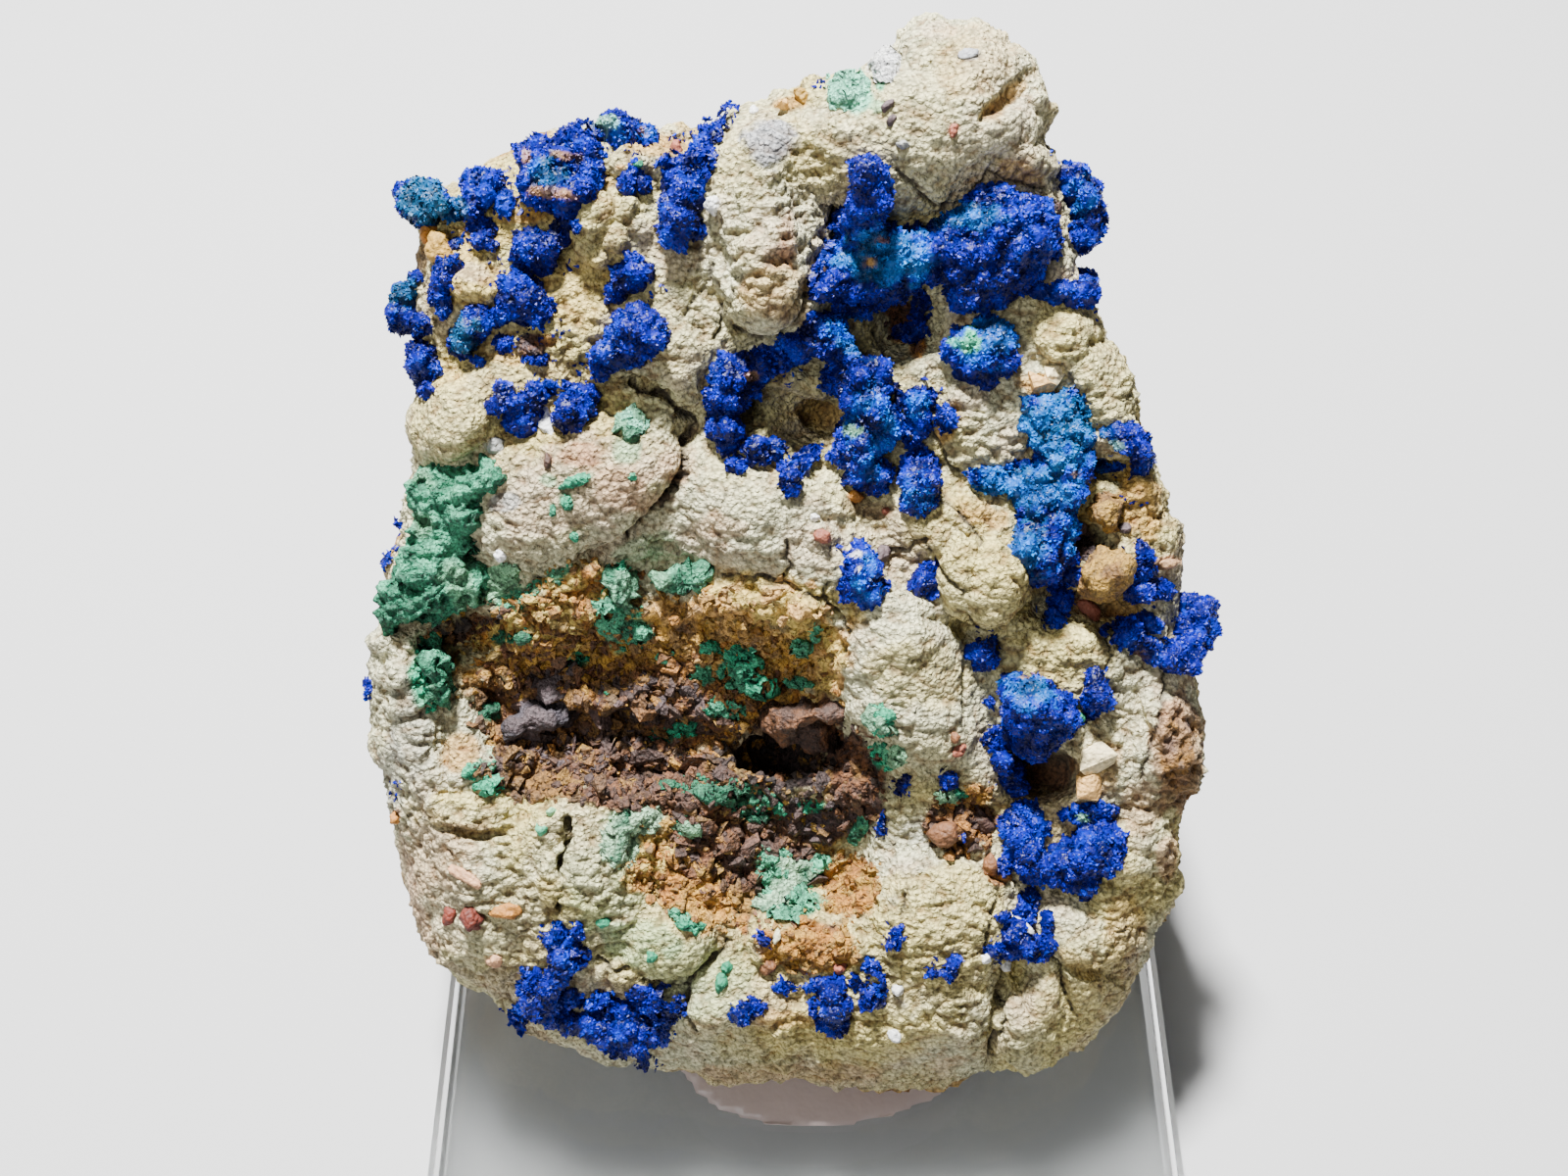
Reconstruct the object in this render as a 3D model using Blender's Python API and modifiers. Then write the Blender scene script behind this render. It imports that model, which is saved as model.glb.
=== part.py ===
"""Azurite specimen: blue azurite druses and green malachite crusts on a cream and ochre limonite
matrix, set with a pad of clear adhesive on a square acrylic display base.

Metres, +Z up, the viewer stands towards -Y. The origin is the centre of the base's underside.

The rock's face leans back. A place on it is given as the point (px, py) where an observer at EYE
sees it, in a picture PICTURE_WIDTH by PICTURE_HEIGHT points, and every height above the face is in
millimetres along the face's normal.
"""

import math

import bmesh
import bpy
import numpy as np
from mathutils import Matrix, Vector, noise

MM = 0.001

# Driving dimensions, in millimetres
BASE_SIDE = 76.2
BASE_THICK = 10.0
BASE_BEVEL = 0.7
PAD_SPACE = 2.0
PAD_CENTRE = (2.5, -6.5)
PAD_RADII = (24.0, 24.5)
# The pad's wavering edge, as waves round it, their height and their start, and how full its rim is
PAD_WAVES = ((3, 0.05, 0.6), (5, 0.04, 0.0))
PAD_FULLNESS = 0.45
PAD_SEGMENTS, PAD_RINGS = 22, 6
GAP = 0.3
ROCK_FLOOR = BASE_THICK + PAD_SPACE

# The observer and the leaning face
EYE = Vector((-2.2, -78.3, 180.6))
VIEW_PITCH = math.radians(56)
FACE_TILT = math.radians(45)
FACE_DISTANCE = 151.0
PICTURE_WIDTH, PICTURE_HEIGHT = 1600, 1200
FOCAL = PICTURE_WIDTH * 38 / 36
CENTRE_X, CENTRE_Y = PICTURE_WIDTH / 2, PICTURE_HEIGHT / 2

VIEW_AXIS = Vector((0, math.cos(VIEW_PITCH), -math.sin(VIEW_PITCH)))
FACE_ORIGIN = EYE + VIEW_AXIS * FACE_DISTANCE
FACE_RIGHT = Vector((1, 0, 0))
FACE_UP = Vector((0, math.sin(FACE_TILT), math.cos(FACE_TILT)))
FACE_NORMAL = Vector((0, -math.cos(FACE_TILT), math.sin(FACE_TILT)))
SLANT = FACE_TILT - VIEW_PITCH

# The back of the wedge: its lower rear edge and how steeply the rear wall climbs from it
REAR_EDGE_UP = -9.0
REAR_EDGE_DEPTH = -48.0
REAR_WALL_SLOPE = 0.62
RIM_DROP = 5.5
RIM_START = 0.85
RIM_FADE = 0.12

# How far a swelling runs past its half sizes, how sharply two of them meet, how full swellings and
# hollows are, the height of the clay between the swellings and the drop that sets it on the face
DOME_SPREAD = 1.3
SWELL_POWER = 5
DOME_FULLNESS = 0.6
HOLLOW_FULLNESS = 0.8
CLAY_LEVEL = 1.2
CLAY_DROP = 3.0

# How boxy the back is, the height of the point its roughness points away from, and the size and
# height of its broken surface and of the grain all over
BACK_FULLNESS = 0.62
HEART_HEIGHT = -18.0
BREAK_SIZE, BREAK_HEIGHT, BREAK_REACH = 22, 3.0, 1.6
GRAIN_SIZE, GRAIN_HEIGHT, GRAIN_REACH = 7, 0.5, 3
NOISE_ROUGHNESS, NOISE_STEP, NOISE_OCTAVES = 0.9, 2.0, 3

# A lump of a growth: the picture step its normal is measured over, how far it turns to the face's
# normal, its depth as a share of its rise and radius, and its bumps
NORMAL_STEP = 10
FACE_PULL = 0.8
LUMP_DEPTH = 0.7
LUMP_FINENESS = 4
LUMP_SIZE, LUMP_BUMPS, BUMP_SCALE, BUMP_ROUGHNESS = 1.02, 0.2, 1.9, 0.8

MATRIX_TRIANGLES = 3900
LUMP_TRIANGLES = 8
CLUSTER_TRIANGLES = 12
CLUSTER_VOXEL = 0.75
BALL_FINENESS = 7

# Seeds of the three kinds of growth, the step from lump to lump, the digits kept of a coordinate in
# metres, and a distance beyond the picture
AZURITE_SEED, MALACHITE_SEED, LIMONITE_SEED = 10, 70, 90
LUMP_SEED_STEP = 0.37
DIGITS = 6
FAR = 1e9

# The matrix's outline as the observer sees it, clockwise from the top of the upper knob
OUTLINE = [
    (1002, 17), (1022, 28), (1036, 52), (1052, 68), (1058, 92), (1073, 112), (1068, 138),
    (1080, 165), (1086, 205), (1100, 255), (1108, 300), (1123, 335), (1140, 365), (1160, 398),
    (1166, 438), (1188, 482), (1193, 502), (1188, 523), (1202, 545), (1208, 588), (1206, 630),
    (1214, 665), (1230, 712), (1235, 745), (1232, 768), (1221, 801), (1205, 832), (1204, 884),
    (1196, 917), (1178, 955), (1160, 1003), (1141, 1040), (1104, 1077), (1052, 1098),
    (1020, 1088), (1008, 1096), (960, 1108), (880, 1112), (800, 1104), (740, 1106), (690, 1098),
    (608, 1080), (546, 1062), (515, 1030), (487, 1013), (449, 997), (434, 966), (429, 939),
    (414, 880), (394, 832), (380, 767), (374, 742), (369, 700), (381, 656), (391, 622),
    (404, 560), (411, 511), (416, 480), (414, 452), (431, 407), (434, 375), (420, 335),
    (424, 300), (427, 262), (424, 222), (447, 192), (508, 168), (540, 156), (562, 143),
    (590, 130), (618, 121), (662, 132), (704, 140), (731, 127), (748, 103), (790, 101),
    (828, 79), (856, 70), (880, 68), (898, 54), (914, 48), (925, 32), (940, 21), (956, 19),
    (970, 25), (986, 17),
]

# Rounded swellings of the matrix: centre, half sizes, turn in degrees, height in millimetres
DOMES = [
    (952, 58, 42, 40, 0, 4.6), (1006, 64, 56, 52, 0, 6.6), (940, 135, 112, 76, -14, 6.8),
    (1046, 128, 34, 48, 0, 4.2), (1040, 182, 48, 26, -10, 3.4), (786, 146, 40, 38, 0, 4.4),
    (842, 118, 56, 50, 0, 4.6), (772, 210, 52, 80, -4, 6.8), (786, 285, 50, 62, 0, 7.8),
    (865, 150, 60, 60, 0, 4.4), (690, 262, 44, 62, 18, 3.4), (622, 228, 48, 46, 0, 3.8),
    (668, 395, 62, 34, 10, 4.2), (700, 340, 60, 56, 0, 4.6), (462, 430, 52, 48, 0, 4.8),
    (520, 395, 60, 40, -10, 3.2), (598, 500, 112, 72, -16, 6.2), (545, 545, 60, 44, 0, 4.0),
    (782, 532, 98, 60, 22, 5.6), (845, 575, 60, 44, 20, 4.2), (745, 470, 46, 36, 0, 3.6),
    (1010, 590, 54, 54, 0, 5.0), (962, 540, 62, 50, 0, 3.8), (925, 690, 60, 98, -12, 5.8),
    (902, 640, 46, 44, 0, 4.6), (960, 790, 52, 56, 0, 3.0), (588, 880, 68, 84, 14, 5.0),
    (478, 905, 66, 76, 0, 4.6), (470, 805, 56, 40, 0, 3.6), (662, 965, 78, 58, 0, 4.4),
    (560, 980, 60, 50, 0, 3.8), (752, 1040, 66, 52, 0, 4.0), (958, 950, 84, 76, 0, 5.0),
    (950, 1045, 76, 46, 0, 4.6), (1048, 1045, 36, 48, 0, 4.2), (1112, 1005, 54, 58, -20, 4.2),
    (1085, 960, 40, 40, 0, 3.4), (1160, 900, 40, 62, 0, 3.6), (1195, 762, 42, 76, 0, 3.8),
    (1120, 352, 56, 46, 0, 4.0), (1150, 420, 40, 46, 0, 3.4), (1176, 500, 34, 48, 0, 3.2),
    (1168, 545, 40, 36, 0, 3.0), (866, 1020, 64, 56, 0, 4.0), (398, 760, 34, 74, 0, 3.2),
    (412, 690, 34, 40, 0, 3.4), (792, 615, 82, 36, 6, 3.6), (560, 612, 70, 36, -14, 3.4),
    (1000, 440, 60, 40, 0, 2.8), (1130, 570, 36, 36, 0, 3.2), (1040, 395, 34, 26, 0, 2.6),
    (920, 400, 40, 60, 0, 2.4), (470, 290, 50, 44, 0, 3.0), (570, 330, 76, 52, 0, 2.8),
    (660, 160, 62, 34, 0, 2.6), (560, 190, 60, 50, 0, 3.0), (1100, 680, 50, 60, 0, 3.0),
    (1030, 690, 50, 50, 0, 2.6), (1110, 780, 44, 52, 0, 3.0), (835, 955, 66, 40, 0, 3.8),
]

# Hollows: centre, half sizes, turn in degrees, depth in millimetres
HOLLOWS = [
    (655, 715, 205, 92, 6, 5.6), (812, 870, 96, 78, 30, 4.0), (822, 762, 62, 36, -8, 8.0),
    (610, 768, 120, 26, 4, 3.6), (468, 652, 62, 22, -16, 3.6), (925, 332, 44, 34, 0, 5.6),
    (758, 422, 24, 24, 0, 3.4), (1150, 478, 26, 20, 0, 3.4), (1118, 552, 22, 14, 24, 4.6),
    (1128, 628, 48, 22, -6, 4.6), (1064, 792, 44, 26, 0, 5.0), (830, 424, 46, 22, 6, 3.0),
    (1070, 610, 40, 30, 0, 4.0), (1050, 88, 22, 9, -34, 2.6), (980, 640, 50, 12, 12, 2.4),
    (430, 262, 22, 20, 0, 2.8), (905, 352, 60, 12, 0, 2.4), (1040, 1000, 12, 44, -12, 3.0),
]

# Cracks in the clay: half width in picture points, depth in millimetres, then the route
CRACKS = [
    (7, 1.8, [(580, 835), (577, 890), (574, 925)]),
    (7, 1.6, [(700, 425), (696, 487), (668, 520), (640, 548), (560, 585), (505, 612)]),
    (6, 1.4, [(640, 388), (680, 402), (704, 428)]),
    (7, 1.6, [(835, 250), (828, 300), (800, 342), (768, 346), (745, 330)]),
    (6, 1.3, [(914, 180), (934, 196), (952, 212), (985, 190)]),
    (6, 1.4, [(962, 532), (996, 556), (992, 600), (980, 640), (1040, 640)]),
    (8, 2.2, [(1012, 1090), (1022, 1040), (1020, 985)]),
    (7, 1.6, [(735, 950), (718, 985), (690, 1000), (700, 1060)]),
]

# Druses of azurite. Each is one solid grown from lumps: centre, half width, rise in millimetres
AZURITE = {
    "azurite_knob_upper_left": [(437, 203, 22, 3.6), (450, 214, 18, 3.2), (434, 222, 16, 2.8)],
    "azurite_rim_upper_left": [
        (482, 188, 13, 2.0), (494, 200, 14, 2.2), (484, 214, 12, 2.0), (506, 184, 10, 1.6),
    ],
    "azurite_mat_upper_left": [
        (546, 172, 17, 2.8), (560, 188, 17, 2.8), (582, 206, 16, 2.8), (602, 196, 14, 2.6),
        (572, 158, 15, 2.6), (588, 150, 12, 2.2), (604, 166, 13, 2.4), (540, 196, 11, 2.0),
    ],
    "azurite_crest_upper_left": [(624, 134, 14, 2.2), (643, 138, 14, 2.0), (660, 142, 10, 1.6)],
    "azurite_tuft_shoulder": [
        (552, 250, 19, 3.2), (566, 240, 13, 2.2), (540, 260, 11, 2.0), (530, 240, 11, 1.8),
    ],
    "azurite_speck_shoulder": [(492, 243, 10, 1.6), (503, 257, 9, 1.4)],
    "azurite_chain_left": [
        (470, 262, 8, 1.6), (462, 277, 9, 1.7), (452, 292, 9, 1.6), (447, 310, 8, 1.5),
    ],
    "azurite_patch_left": [
        (512, 296, 13, 2.0), (528, 306, 15, 2.2), (546, 316, 14, 2.0), (538, 298, 11, 1.8),
    ],
    "azurite_tongue_left": [(492, 320, 12, 2.0), (480, 336, 14, 2.4), (471, 354, 13, 2.2)],
    "azurite_rim_left_upper": [(413, 303, 15, 3.0), (420, 318, 13, 2.8), (413, 334, 11, 2.4)],
    "azurite_rim_left_lower": [(432, 356, 14, 2.8), (438, 374, 12, 2.2), (433, 392, 9, 1.8)],
    "azurite_wedge": [
        (514, 402, 13, 2.2), (529, 414, 13, 2.2), (541, 430, 11, 1.9), (547, 402, 11, 1.6),
    ],
    "azurite_button": [(582, 404, 15, 2.9), (598, 412, 13, 2.7), (580, 432, 15, 2.6)],
    "azurite_bar": [(640, 285, 14, 2.7), (653, 271, 12, 2.4), (631, 298, 11, 2.2)],
    "azurite_cushion": [
        (652, 334, 20, 4.0), (668, 342, 17, 3.4), (644, 354, 18, 3.4), (618, 372, 15, 2.8),
    ],
    "azurite_column": [
        (692, 236, 19, 3.8), (698, 212, 18, 3.6), (704, 188, 17, 3.4), (714, 166, 12, 2.6),
        (726, 144, 10, 2.2), (738, 120, 9, 2.0),
    ],
    "azurite_leaf": [(648, 183, 12, 1.7), (637, 189, 9, 1.4), (660, 178, 8, 1.3)],
    "azurite_ridge": [
        (886, 178, 21, 3.8), (893, 198, 21, 4.0), (880, 216, 20, 3.4),
        (872, 246, 20, 3.0), (882, 268, 26, 3.8), (915, 264, 28, 4.4), (946, 262, 20, 4.0),
        (854, 288, 20, 3.4), (896, 292, 24, 3.6), (834, 296, 12, 2.4), (975, 250, 24, 4.2),
        (1012, 226, 32, 5.2), (1042, 238, 28, 5.0), (1000, 264, 30, 4.8), (984, 296, 22, 3.6),
        (1016, 284, 22, 3.8), (1050, 268, 20, 3.4), (1056, 214, 17, 3.2), (934, 308, 15, 2.8),
    ],
    "azurite_ring": [
        (840, 342, 19, 3.4), (816, 348, 13, 2.6), (856, 360, 15, 2.8), (796, 362, 13, 2.2),
        (770, 364, 18, 3.0), (744, 374, 19, 3.6), (736, 400, 18, 3.6), (768, 388, 16, 3.0),
        (732, 428, 17, 3.4), (740, 448, 16, 3.0),
        (872, 380, 18, 3.2), (890, 382, 18, 3.4), (874, 402, 20, 3.6), (896, 412, 20, 3.6),
        (906, 432, 15, 3.2), (884, 442, 22, 3.6), (878, 466, 21, 3.4), (892, 486, 18, 3.2),
    ],
    "azurite_drop_left": [(770, 461, 14, 2.5), (788, 464, 11, 2.1)],
    "azurite_drop_right": [(812, 475, 9, 1.7), (806, 492, 10, 1.7), (823, 469, 8, 1.4)],
    "azurite_foot": [(934, 480, 16, 3.2), (945, 497, 16, 3.1), (938, 516, 15, 2.7)],
    "azurite_bead_upper": [(934, 412, 12, 2.3), (941, 432, 9, 1.8)],
    "azurite_rosette_green": [
        (988, 354, 20, 3.6), (1014, 346, 20, 4.0), (1020, 368, 18, 3.4), (996, 374, 17, 3.2),
        (970, 352, 12, 2.5),
    ],
    "azurite_rim_right_upper": [
        (1098, 180, 14, 3.2), (1107, 200, 16, 3.6), (1111, 224, 14, 3.2), (1105, 248, 12, 2.6),
    ],
    "azurite_rim_right_lower": [(1099, 296, 13, 2.6), (1080, 300, 11, 2.1), (1112, 286, 9, 2.2)],
    "azurite_curtain": [
        (1060, 420, 19, 3.2), (1084, 416, 17, 3.2), (1100, 428, 13, 2.6), (1072, 446, 23, 3.8),
        (1096, 456, 18, 3.4), (1080, 480, 25, 4.0), (1066, 510, 23, 3.8), (1086, 504, 16, 3.2),
        (1072, 540, 24, 3.8), (1048, 560, 21, 3.6), (1074, 566, 20, 3.4), (1058, 582, 14, 2.6),
        (1034, 494, 11, 1.9), (1014, 488, 13, 2.2), (1000, 482, 9, 1.6),
    ],
    "azurite_brow_right": [(1138, 448, 11, 2.3), (1154, 454, 12, 2.3), (1165, 468, 10, 2.1)],
    "azurite_shade_right": [(1074, 612, 12, 2.1), (1086, 602, 11, 2.0), (1074, 630, 9, 1.5)],
    "azurite_patch_right": [(1168, 588, 11, 2.0), (1162, 604, 12, 2.1), (1166, 574, 7, 1.5)],
    "azurite_rim_right": [
        (1222, 624, 18, 3.6), (1212, 646, 19, 3.6), (1200, 668, 18, 3.2), (1184, 672, 12, 2.4),
        (1164, 656, 13, 2.4), (1148, 650, 12, 2.2),
    ],
    "azurite_pair": [(876, 572, 16, 3.1), (886, 598, 17, 3.3), (868, 598, 12, 2.6)],
    "azurite_bead_centre": [(941, 587, 12, 2.6), (946, 602, 9, 2.0)],
    "azurite_spark": [(1002, 662, 12, 2.0), (1008, 677, 10, 1.8)],
    "azurite_rose": [
        (1057, 712, 27, 5.0), (1038, 724, 20, 4.2), (1078, 728, 22, 4.4), (1056, 748, 20, 3.8),
        (1030, 702, 13, 2.8),
    ],
    "azurite_chip": [(1118, 690, 10, 1.9), (1116, 707, 12, 2.1), (1128, 712, 9, 1.7)],
    "azurite_under_rose": [(1020, 776, 13, 2.6), (1026, 792, 14, 2.8)],
    "azurite_cloud_lower": [
        (1038, 850, 17, 2.9), (1044, 874, 18, 3.1), (1066, 888, 13, 2.4), (1090, 872, 19, 3.6),
        (1112, 850, 22, 4.2), (1126, 870, 20, 4.0), (1108, 898, 17, 3.2),
    ],
    "azurite_star_lower": [(1034, 946, 12, 2.0), (1050, 960, 14, 2.2), (1030, 966, 11, 1.8)],
    "azurite_drip_lower": [(850, 1006, 12, 2.4), (854, 1026, 13, 2.6), (850, 1040, 10, 1.9)],
    "azurite_mat_lower": [
        (574, 962, 14, 2.4), (580, 984, 15, 2.6), (562, 1004, 16, 2.6), (542, 1018, 16, 2.7),
        (560, 1028, 14, 2.5), (600, 1038, 15, 2.5), (618, 1052, 13, 2.3), (640, 1032, 16, 2.7),
        (664, 1042, 15, 2.5), (650, 1062, 14, 2.3), (580, 1034, 9, 1.9),
    ],
}

# Crusts of malachite, given in the same way
MALACHITE = {
    "malachite_crust_upper": [
        (434, 498, 20, 2.6), (462, 494, 24, 2.6), (492, 490, 20, 2.0), (510, 486, 12, 1.6),
        (448, 522, 24, 2.8), (478, 522, 18, 2.2), (446, 548, 22, 2.6), (472, 552, 16, 2.2),
        (428, 580, 24, 3.0), (456, 580, 24, 3.0), (410, 600, 20, 3.0), (440, 606, 26, 3.4),
        (474, 600, 16, 2.4), (404, 626, 16, 3.0), (492, 586, 12, 1.6),
    ],
    "malachite_column_left": [(438, 664, 14, 2.4), (444, 684, 15, 2.4), (446, 706, 13, 2.0)],
    "malachite_flake": [(640, 428, 12, 1.8), (652, 436, 12, 1.8), (638, 440, 9, 1.4)],
    "malachite_bead_pair": [(680, 591, 14, 2.6), (712, 589, 16, 2.8), (697, 590, 9, 1.6)],
    "malachite_tongue": [
        (632, 592, 15, 2.8), (636, 612, 12, 2.2), (630, 632, 17, 2.2), (652, 640, 14, 1.8),
    ],
    "malachite_curl": [
        (752, 668, 12, 2.4), (762, 682, 12, 2.6), (778, 688, 11, 2.4), (768, 696, 9, 2.0),
    ],
    "malachite_bead_right": [(900, 734, 14, 2.4), (893, 722, 9, 1.8)],
    "malachite_patch_lower": [
        (792, 880, 14, 2.0), (800, 905, 18, 2.2), (788, 926, 14, 1.8), (836, 884, 10, 2.2),
        (818, 892, 12, 1.8),
    ],
    "malachite_flat_lower": [(640, 838, 15, 1.8), (632, 862, 16, 1.8), (662, 832, 11, 1.5)],
}

# Loose-looking nuggets of iron oxide wedged in the hollows, given in the same way
LIMONITE = {
    "limonite_nugget_upper": [(1124, 518, 15, 3.6), (1127, 532, 12, 3.0)],
    "limonite_nugget_lower": [(1116, 588, 20, 3.6), (1138, 576, 18, 4.0), (1128, 598, 14, 2.8)],
    "goethite_block": [(800, 728, 22, 4.6), (828, 732, 24, 4.8), (848, 722, 14, 3.6)],
    "goethite_rod": [(528, 738, 15, 3.6), (550, 736, 15, 3.8), (572, 728, 13, 3.4)],
}

# Colour, roughness and metallic value of each kind of piece
FINISHES = {
    "matrix": ((0.62, 0.53, 0.38), 0.92, 0.0),
    "azurite": ((0.015, 0.07, 0.48), 0.38, 0.0),
    "malachite": ((0.13, 0.44, 0.29), 0.75, 0.0),
    "limonite": ((0.42, 0.24, 0.09), 0.9, 0.0),
    "goethite": ((0.09, 0.045, 0.035), 0.6, 0.0),
    "acrylic": ((0.95, 0.97, 0.97), 0.03, 0.0),
    "adhesive": ((0.78, 0.74, 0.72), 0.35, 0.0),
}


def place(px, py, height):
    """The point on the observer's sight line (px, py) at a height above the face, in millimetres."""
    px, py, height = (np.asarray(value, float) for value in (px, py, height))
    rise = (CENTRE_Y - py) / FOCAL
    cos_slant, sin_slant = math.cos(SLANT), math.sin(SLANT)
    up = (rise * (FACE_DISTANCE - height * cos_slant) - height * sin_slant) / (
        cos_slant - rise * sin_slant
    )
    depth = FACE_DISTANCE + up * sin_slant - height * cos_slant
    right = (px - CENTRE_X) / FOCAL * depth
    return right, up


def in_world(right, up, height):
    """Face coordinates in millimetres as an array of world points in metres."""
    axes = np.array([FACE_RIGHT, FACE_UP, FACE_NORMAL])
    offsets = np.stack(np.broadcast_arrays(right, up, height), axis=-1) @ axes
    return (offsets + np.array(FACE_ORIGIN)) * MM


def ellipse_distance(px, py, blob):
    """Squared distance from a blob's centre, 1 on its edge."""
    centre_x, centre_y, half_x, half_y, turn = blob[:5]
    cos_turn, sin_turn = math.cos(math.radians(turn)), math.sin(math.radians(turn))
    dx, dy = px - centre_x, py - centre_y
    return ((dx * cos_turn + dy * sin_turn) / half_x) ** 2 + (
        (dy * cos_turn - dx * sin_turn) / half_y
    ) ** 2


def crack_distance(px, py, route):
    """Distance in picture points from a crack's route."""
    nearest = np.full(np.shape(px), FAR)
    for (x0, y0), (x1, y1) in zip(route, route[1:]):
        dx, dy = x1 - x0, y1 - y0
        along = np.clip(((px - x0) * dx + (py - y0) * dy) / (dx * dx + dy * dy), 0, 1)
        nearest = np.minimum(nearest, np.hypot(px - x0 - along * dx, py - y0 - along * dy))
    return nearest


def relief(px, py):
    """Height of the matrix above the leaning face, away from its rim."""
    px, py = np.asarray(px, float), np.asarray(py, float)
    swell = np.full(px.shape, CLAY_LEVEL**SWELL_POWER)
    for dome in DOMES:
        wide = ellipse_distance(px, py, dome) / DOME_SPREAD**2
        swell = swell + (dome[5] * np.clip(1 - wide, 0, 1) ** DOME_FULLNESS) ** SWELL_POWER
    height = swell ** (1 / SWELL_POWER) - CLAY_DROP
    for hollow in HOLLOWS:
        inside = np.clip(1 - ellipse_distance(px, py, hollow), 0, 1)
        height = height - hollow[5] * inside**HOLLOW_FULLNESS
    for half_width, depth, route in CRACKS:
        height = height - depth * np.clip(1 - crack_distance(px, py, route) / half_width, 0, 1)
    return height


def rim_reach(px, py):
    """How far a sight line lies from the middle of the outline, 1 on the outline itself."""
    dx, dy = px - CENTRE_X, CENTRE_Y - py
    return np.hypot(dx, dy) / outline_radius(np.arctan2(dy, dx))


def outline_radius(angle):
    """The outline's distance from the picture's middle in a direction, in picture points."""
    points = np.array(OUTLINE, float)
    dx, dy = points[:, 0] - CENTRE_X, CENTRE_Y - points[:, 1]
    directions = np.arctan2(dy, dx)
    order = np.argsort(directions)
    return np.interp(
        angle, directions[order], np.hypot(dx, dy)[order], period=2 * math.pi
    )


def rim_rounding(reach):
    """How far the face has turned down towards its rim, in millimetres."""
    beyond = np.clip((reach - RIM_START) / (1 - RIM_START), 0, 1)
    return RIM_DROP * (1 - np.sqrt(1 - beyond**2))


def face_height(px, py):
    """Height of the matrix on a sight line, its rim included."""
    reach = rim_reach(px, py)
    return relief(px, py) * np.clip((1 - reach) / RIM_FADE, 0, 1) - rim_rounding(reach)


def back_height(up, rim_height):
    """Height of the flat underside or the rear wall behind the face, whichever stops the rock first."""
    floor = (ROCK_FLOOR - FACE_ORIGIN.z) / FACE_UP.z - up
    wall = REAR_EDGE_DEPTH + (up - REAR_EDGE_UP) * REAR_WALL_SLOPE
    return np.minimum(np.maximum(floor, wall), rim_height)


def roughness(points, size, seed):
    """Fractal noise at each world point, about -1 to 1, with bumps of a size in millimetres."""
    shift = Vector((seed * 7.3, seed * 3.1, seed * 5.7))
    return np.array([
        noise.fractal(Vector(p) / (size * MM) + shift, NOISE_ROUGHNESS, NOISE_STEP, NOISE_OCTAVES)
        for p in points
    ])


def link(name, mesh, finish):
    """A named object in the specimen's collection, with its finish."""
    obj = bpy.data.objects.new(name, mesh)
    SPECIMEN.objects.link(obj)
    mesh.materials.clear()
    mesh.materials.append(FINISH_MATERIALS[finish])
    return obj


def make_finishes():
    """One Principled material for each kind of piece."""
    made = {}
    for name, (colour, rough, metallic) in FINISHES.items():
        material = bpy.data.materials.new(name)
        material.use_nodes = True
        shader = material.node_tree.nodes["Principled BSDF"]
        shader.inputs["Base Color"].default_value = (*colour, 1)
        shader.inputs["Roughness"].default_value = rough
        shader.inputs["Metallic"].default_value = metallic
        made[name] = material
    shader = made["acrylic"].node_tree.nodes["Principled BSDF"]
    shader.inputs["Transmission Weight"].default_value = 1.0
    shader.inputs["IOR"].default_value = 1.49
    return made


def evaluated_mesh(obj):
    """The object's mesh with its modifiers applied, as a new mesh."""
    graph = bpy.context.evaluated_depsgraph_get()
    return bpy.data.meshes.new_from_object(obj.evaluated_get(graph))


def settle(obj):
    """Applies the object's modifiers."""
    mesh = evaluated_mesh(obj)
    obj.modifiers.clear()
    obj.data = mesh
    return obj


def keep_largest_piece(mesh):
    """Drops the crumbs that a cut leaves, so that the mesh is one body."""
    bm = bmesh.new()
    bm.from_mesh(mesh)
    left, pieces = set(bm.verts), []
    while left:
        piece, edge = set(), [left.pop()]
        while edge:
            vertex = edge.pop()
            piece.add(vertex)
            for neighbour in (link_edge.other_vert(vertex) for link_edge in vertex.link_edges):
                if neighbour in left:
                    left.remove(neighbour)
                    edge.append(neighbour)
        pieces.append(piece)
    pieces.sort(key=len)
    bmesh.ops.delete(bm, geom=[v for piece in pieces[:-1] for v in piece], context="VERTS")
    bm.to_mesh(mesh)
    bm.free()


def decimate(obj, triangles):
    """Reduces the object to about this many triangles, kept flat-faced."""
    reducer = obj.modifiers.new("reduce", "DECIMATE")
    reducer.ratio = min(1.0, triangles / sum(len(p.vertices) - 2 for p in obj.data.polygons))
    reducer.use_collapse_triangulate = True
    return settle(obj)


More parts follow.
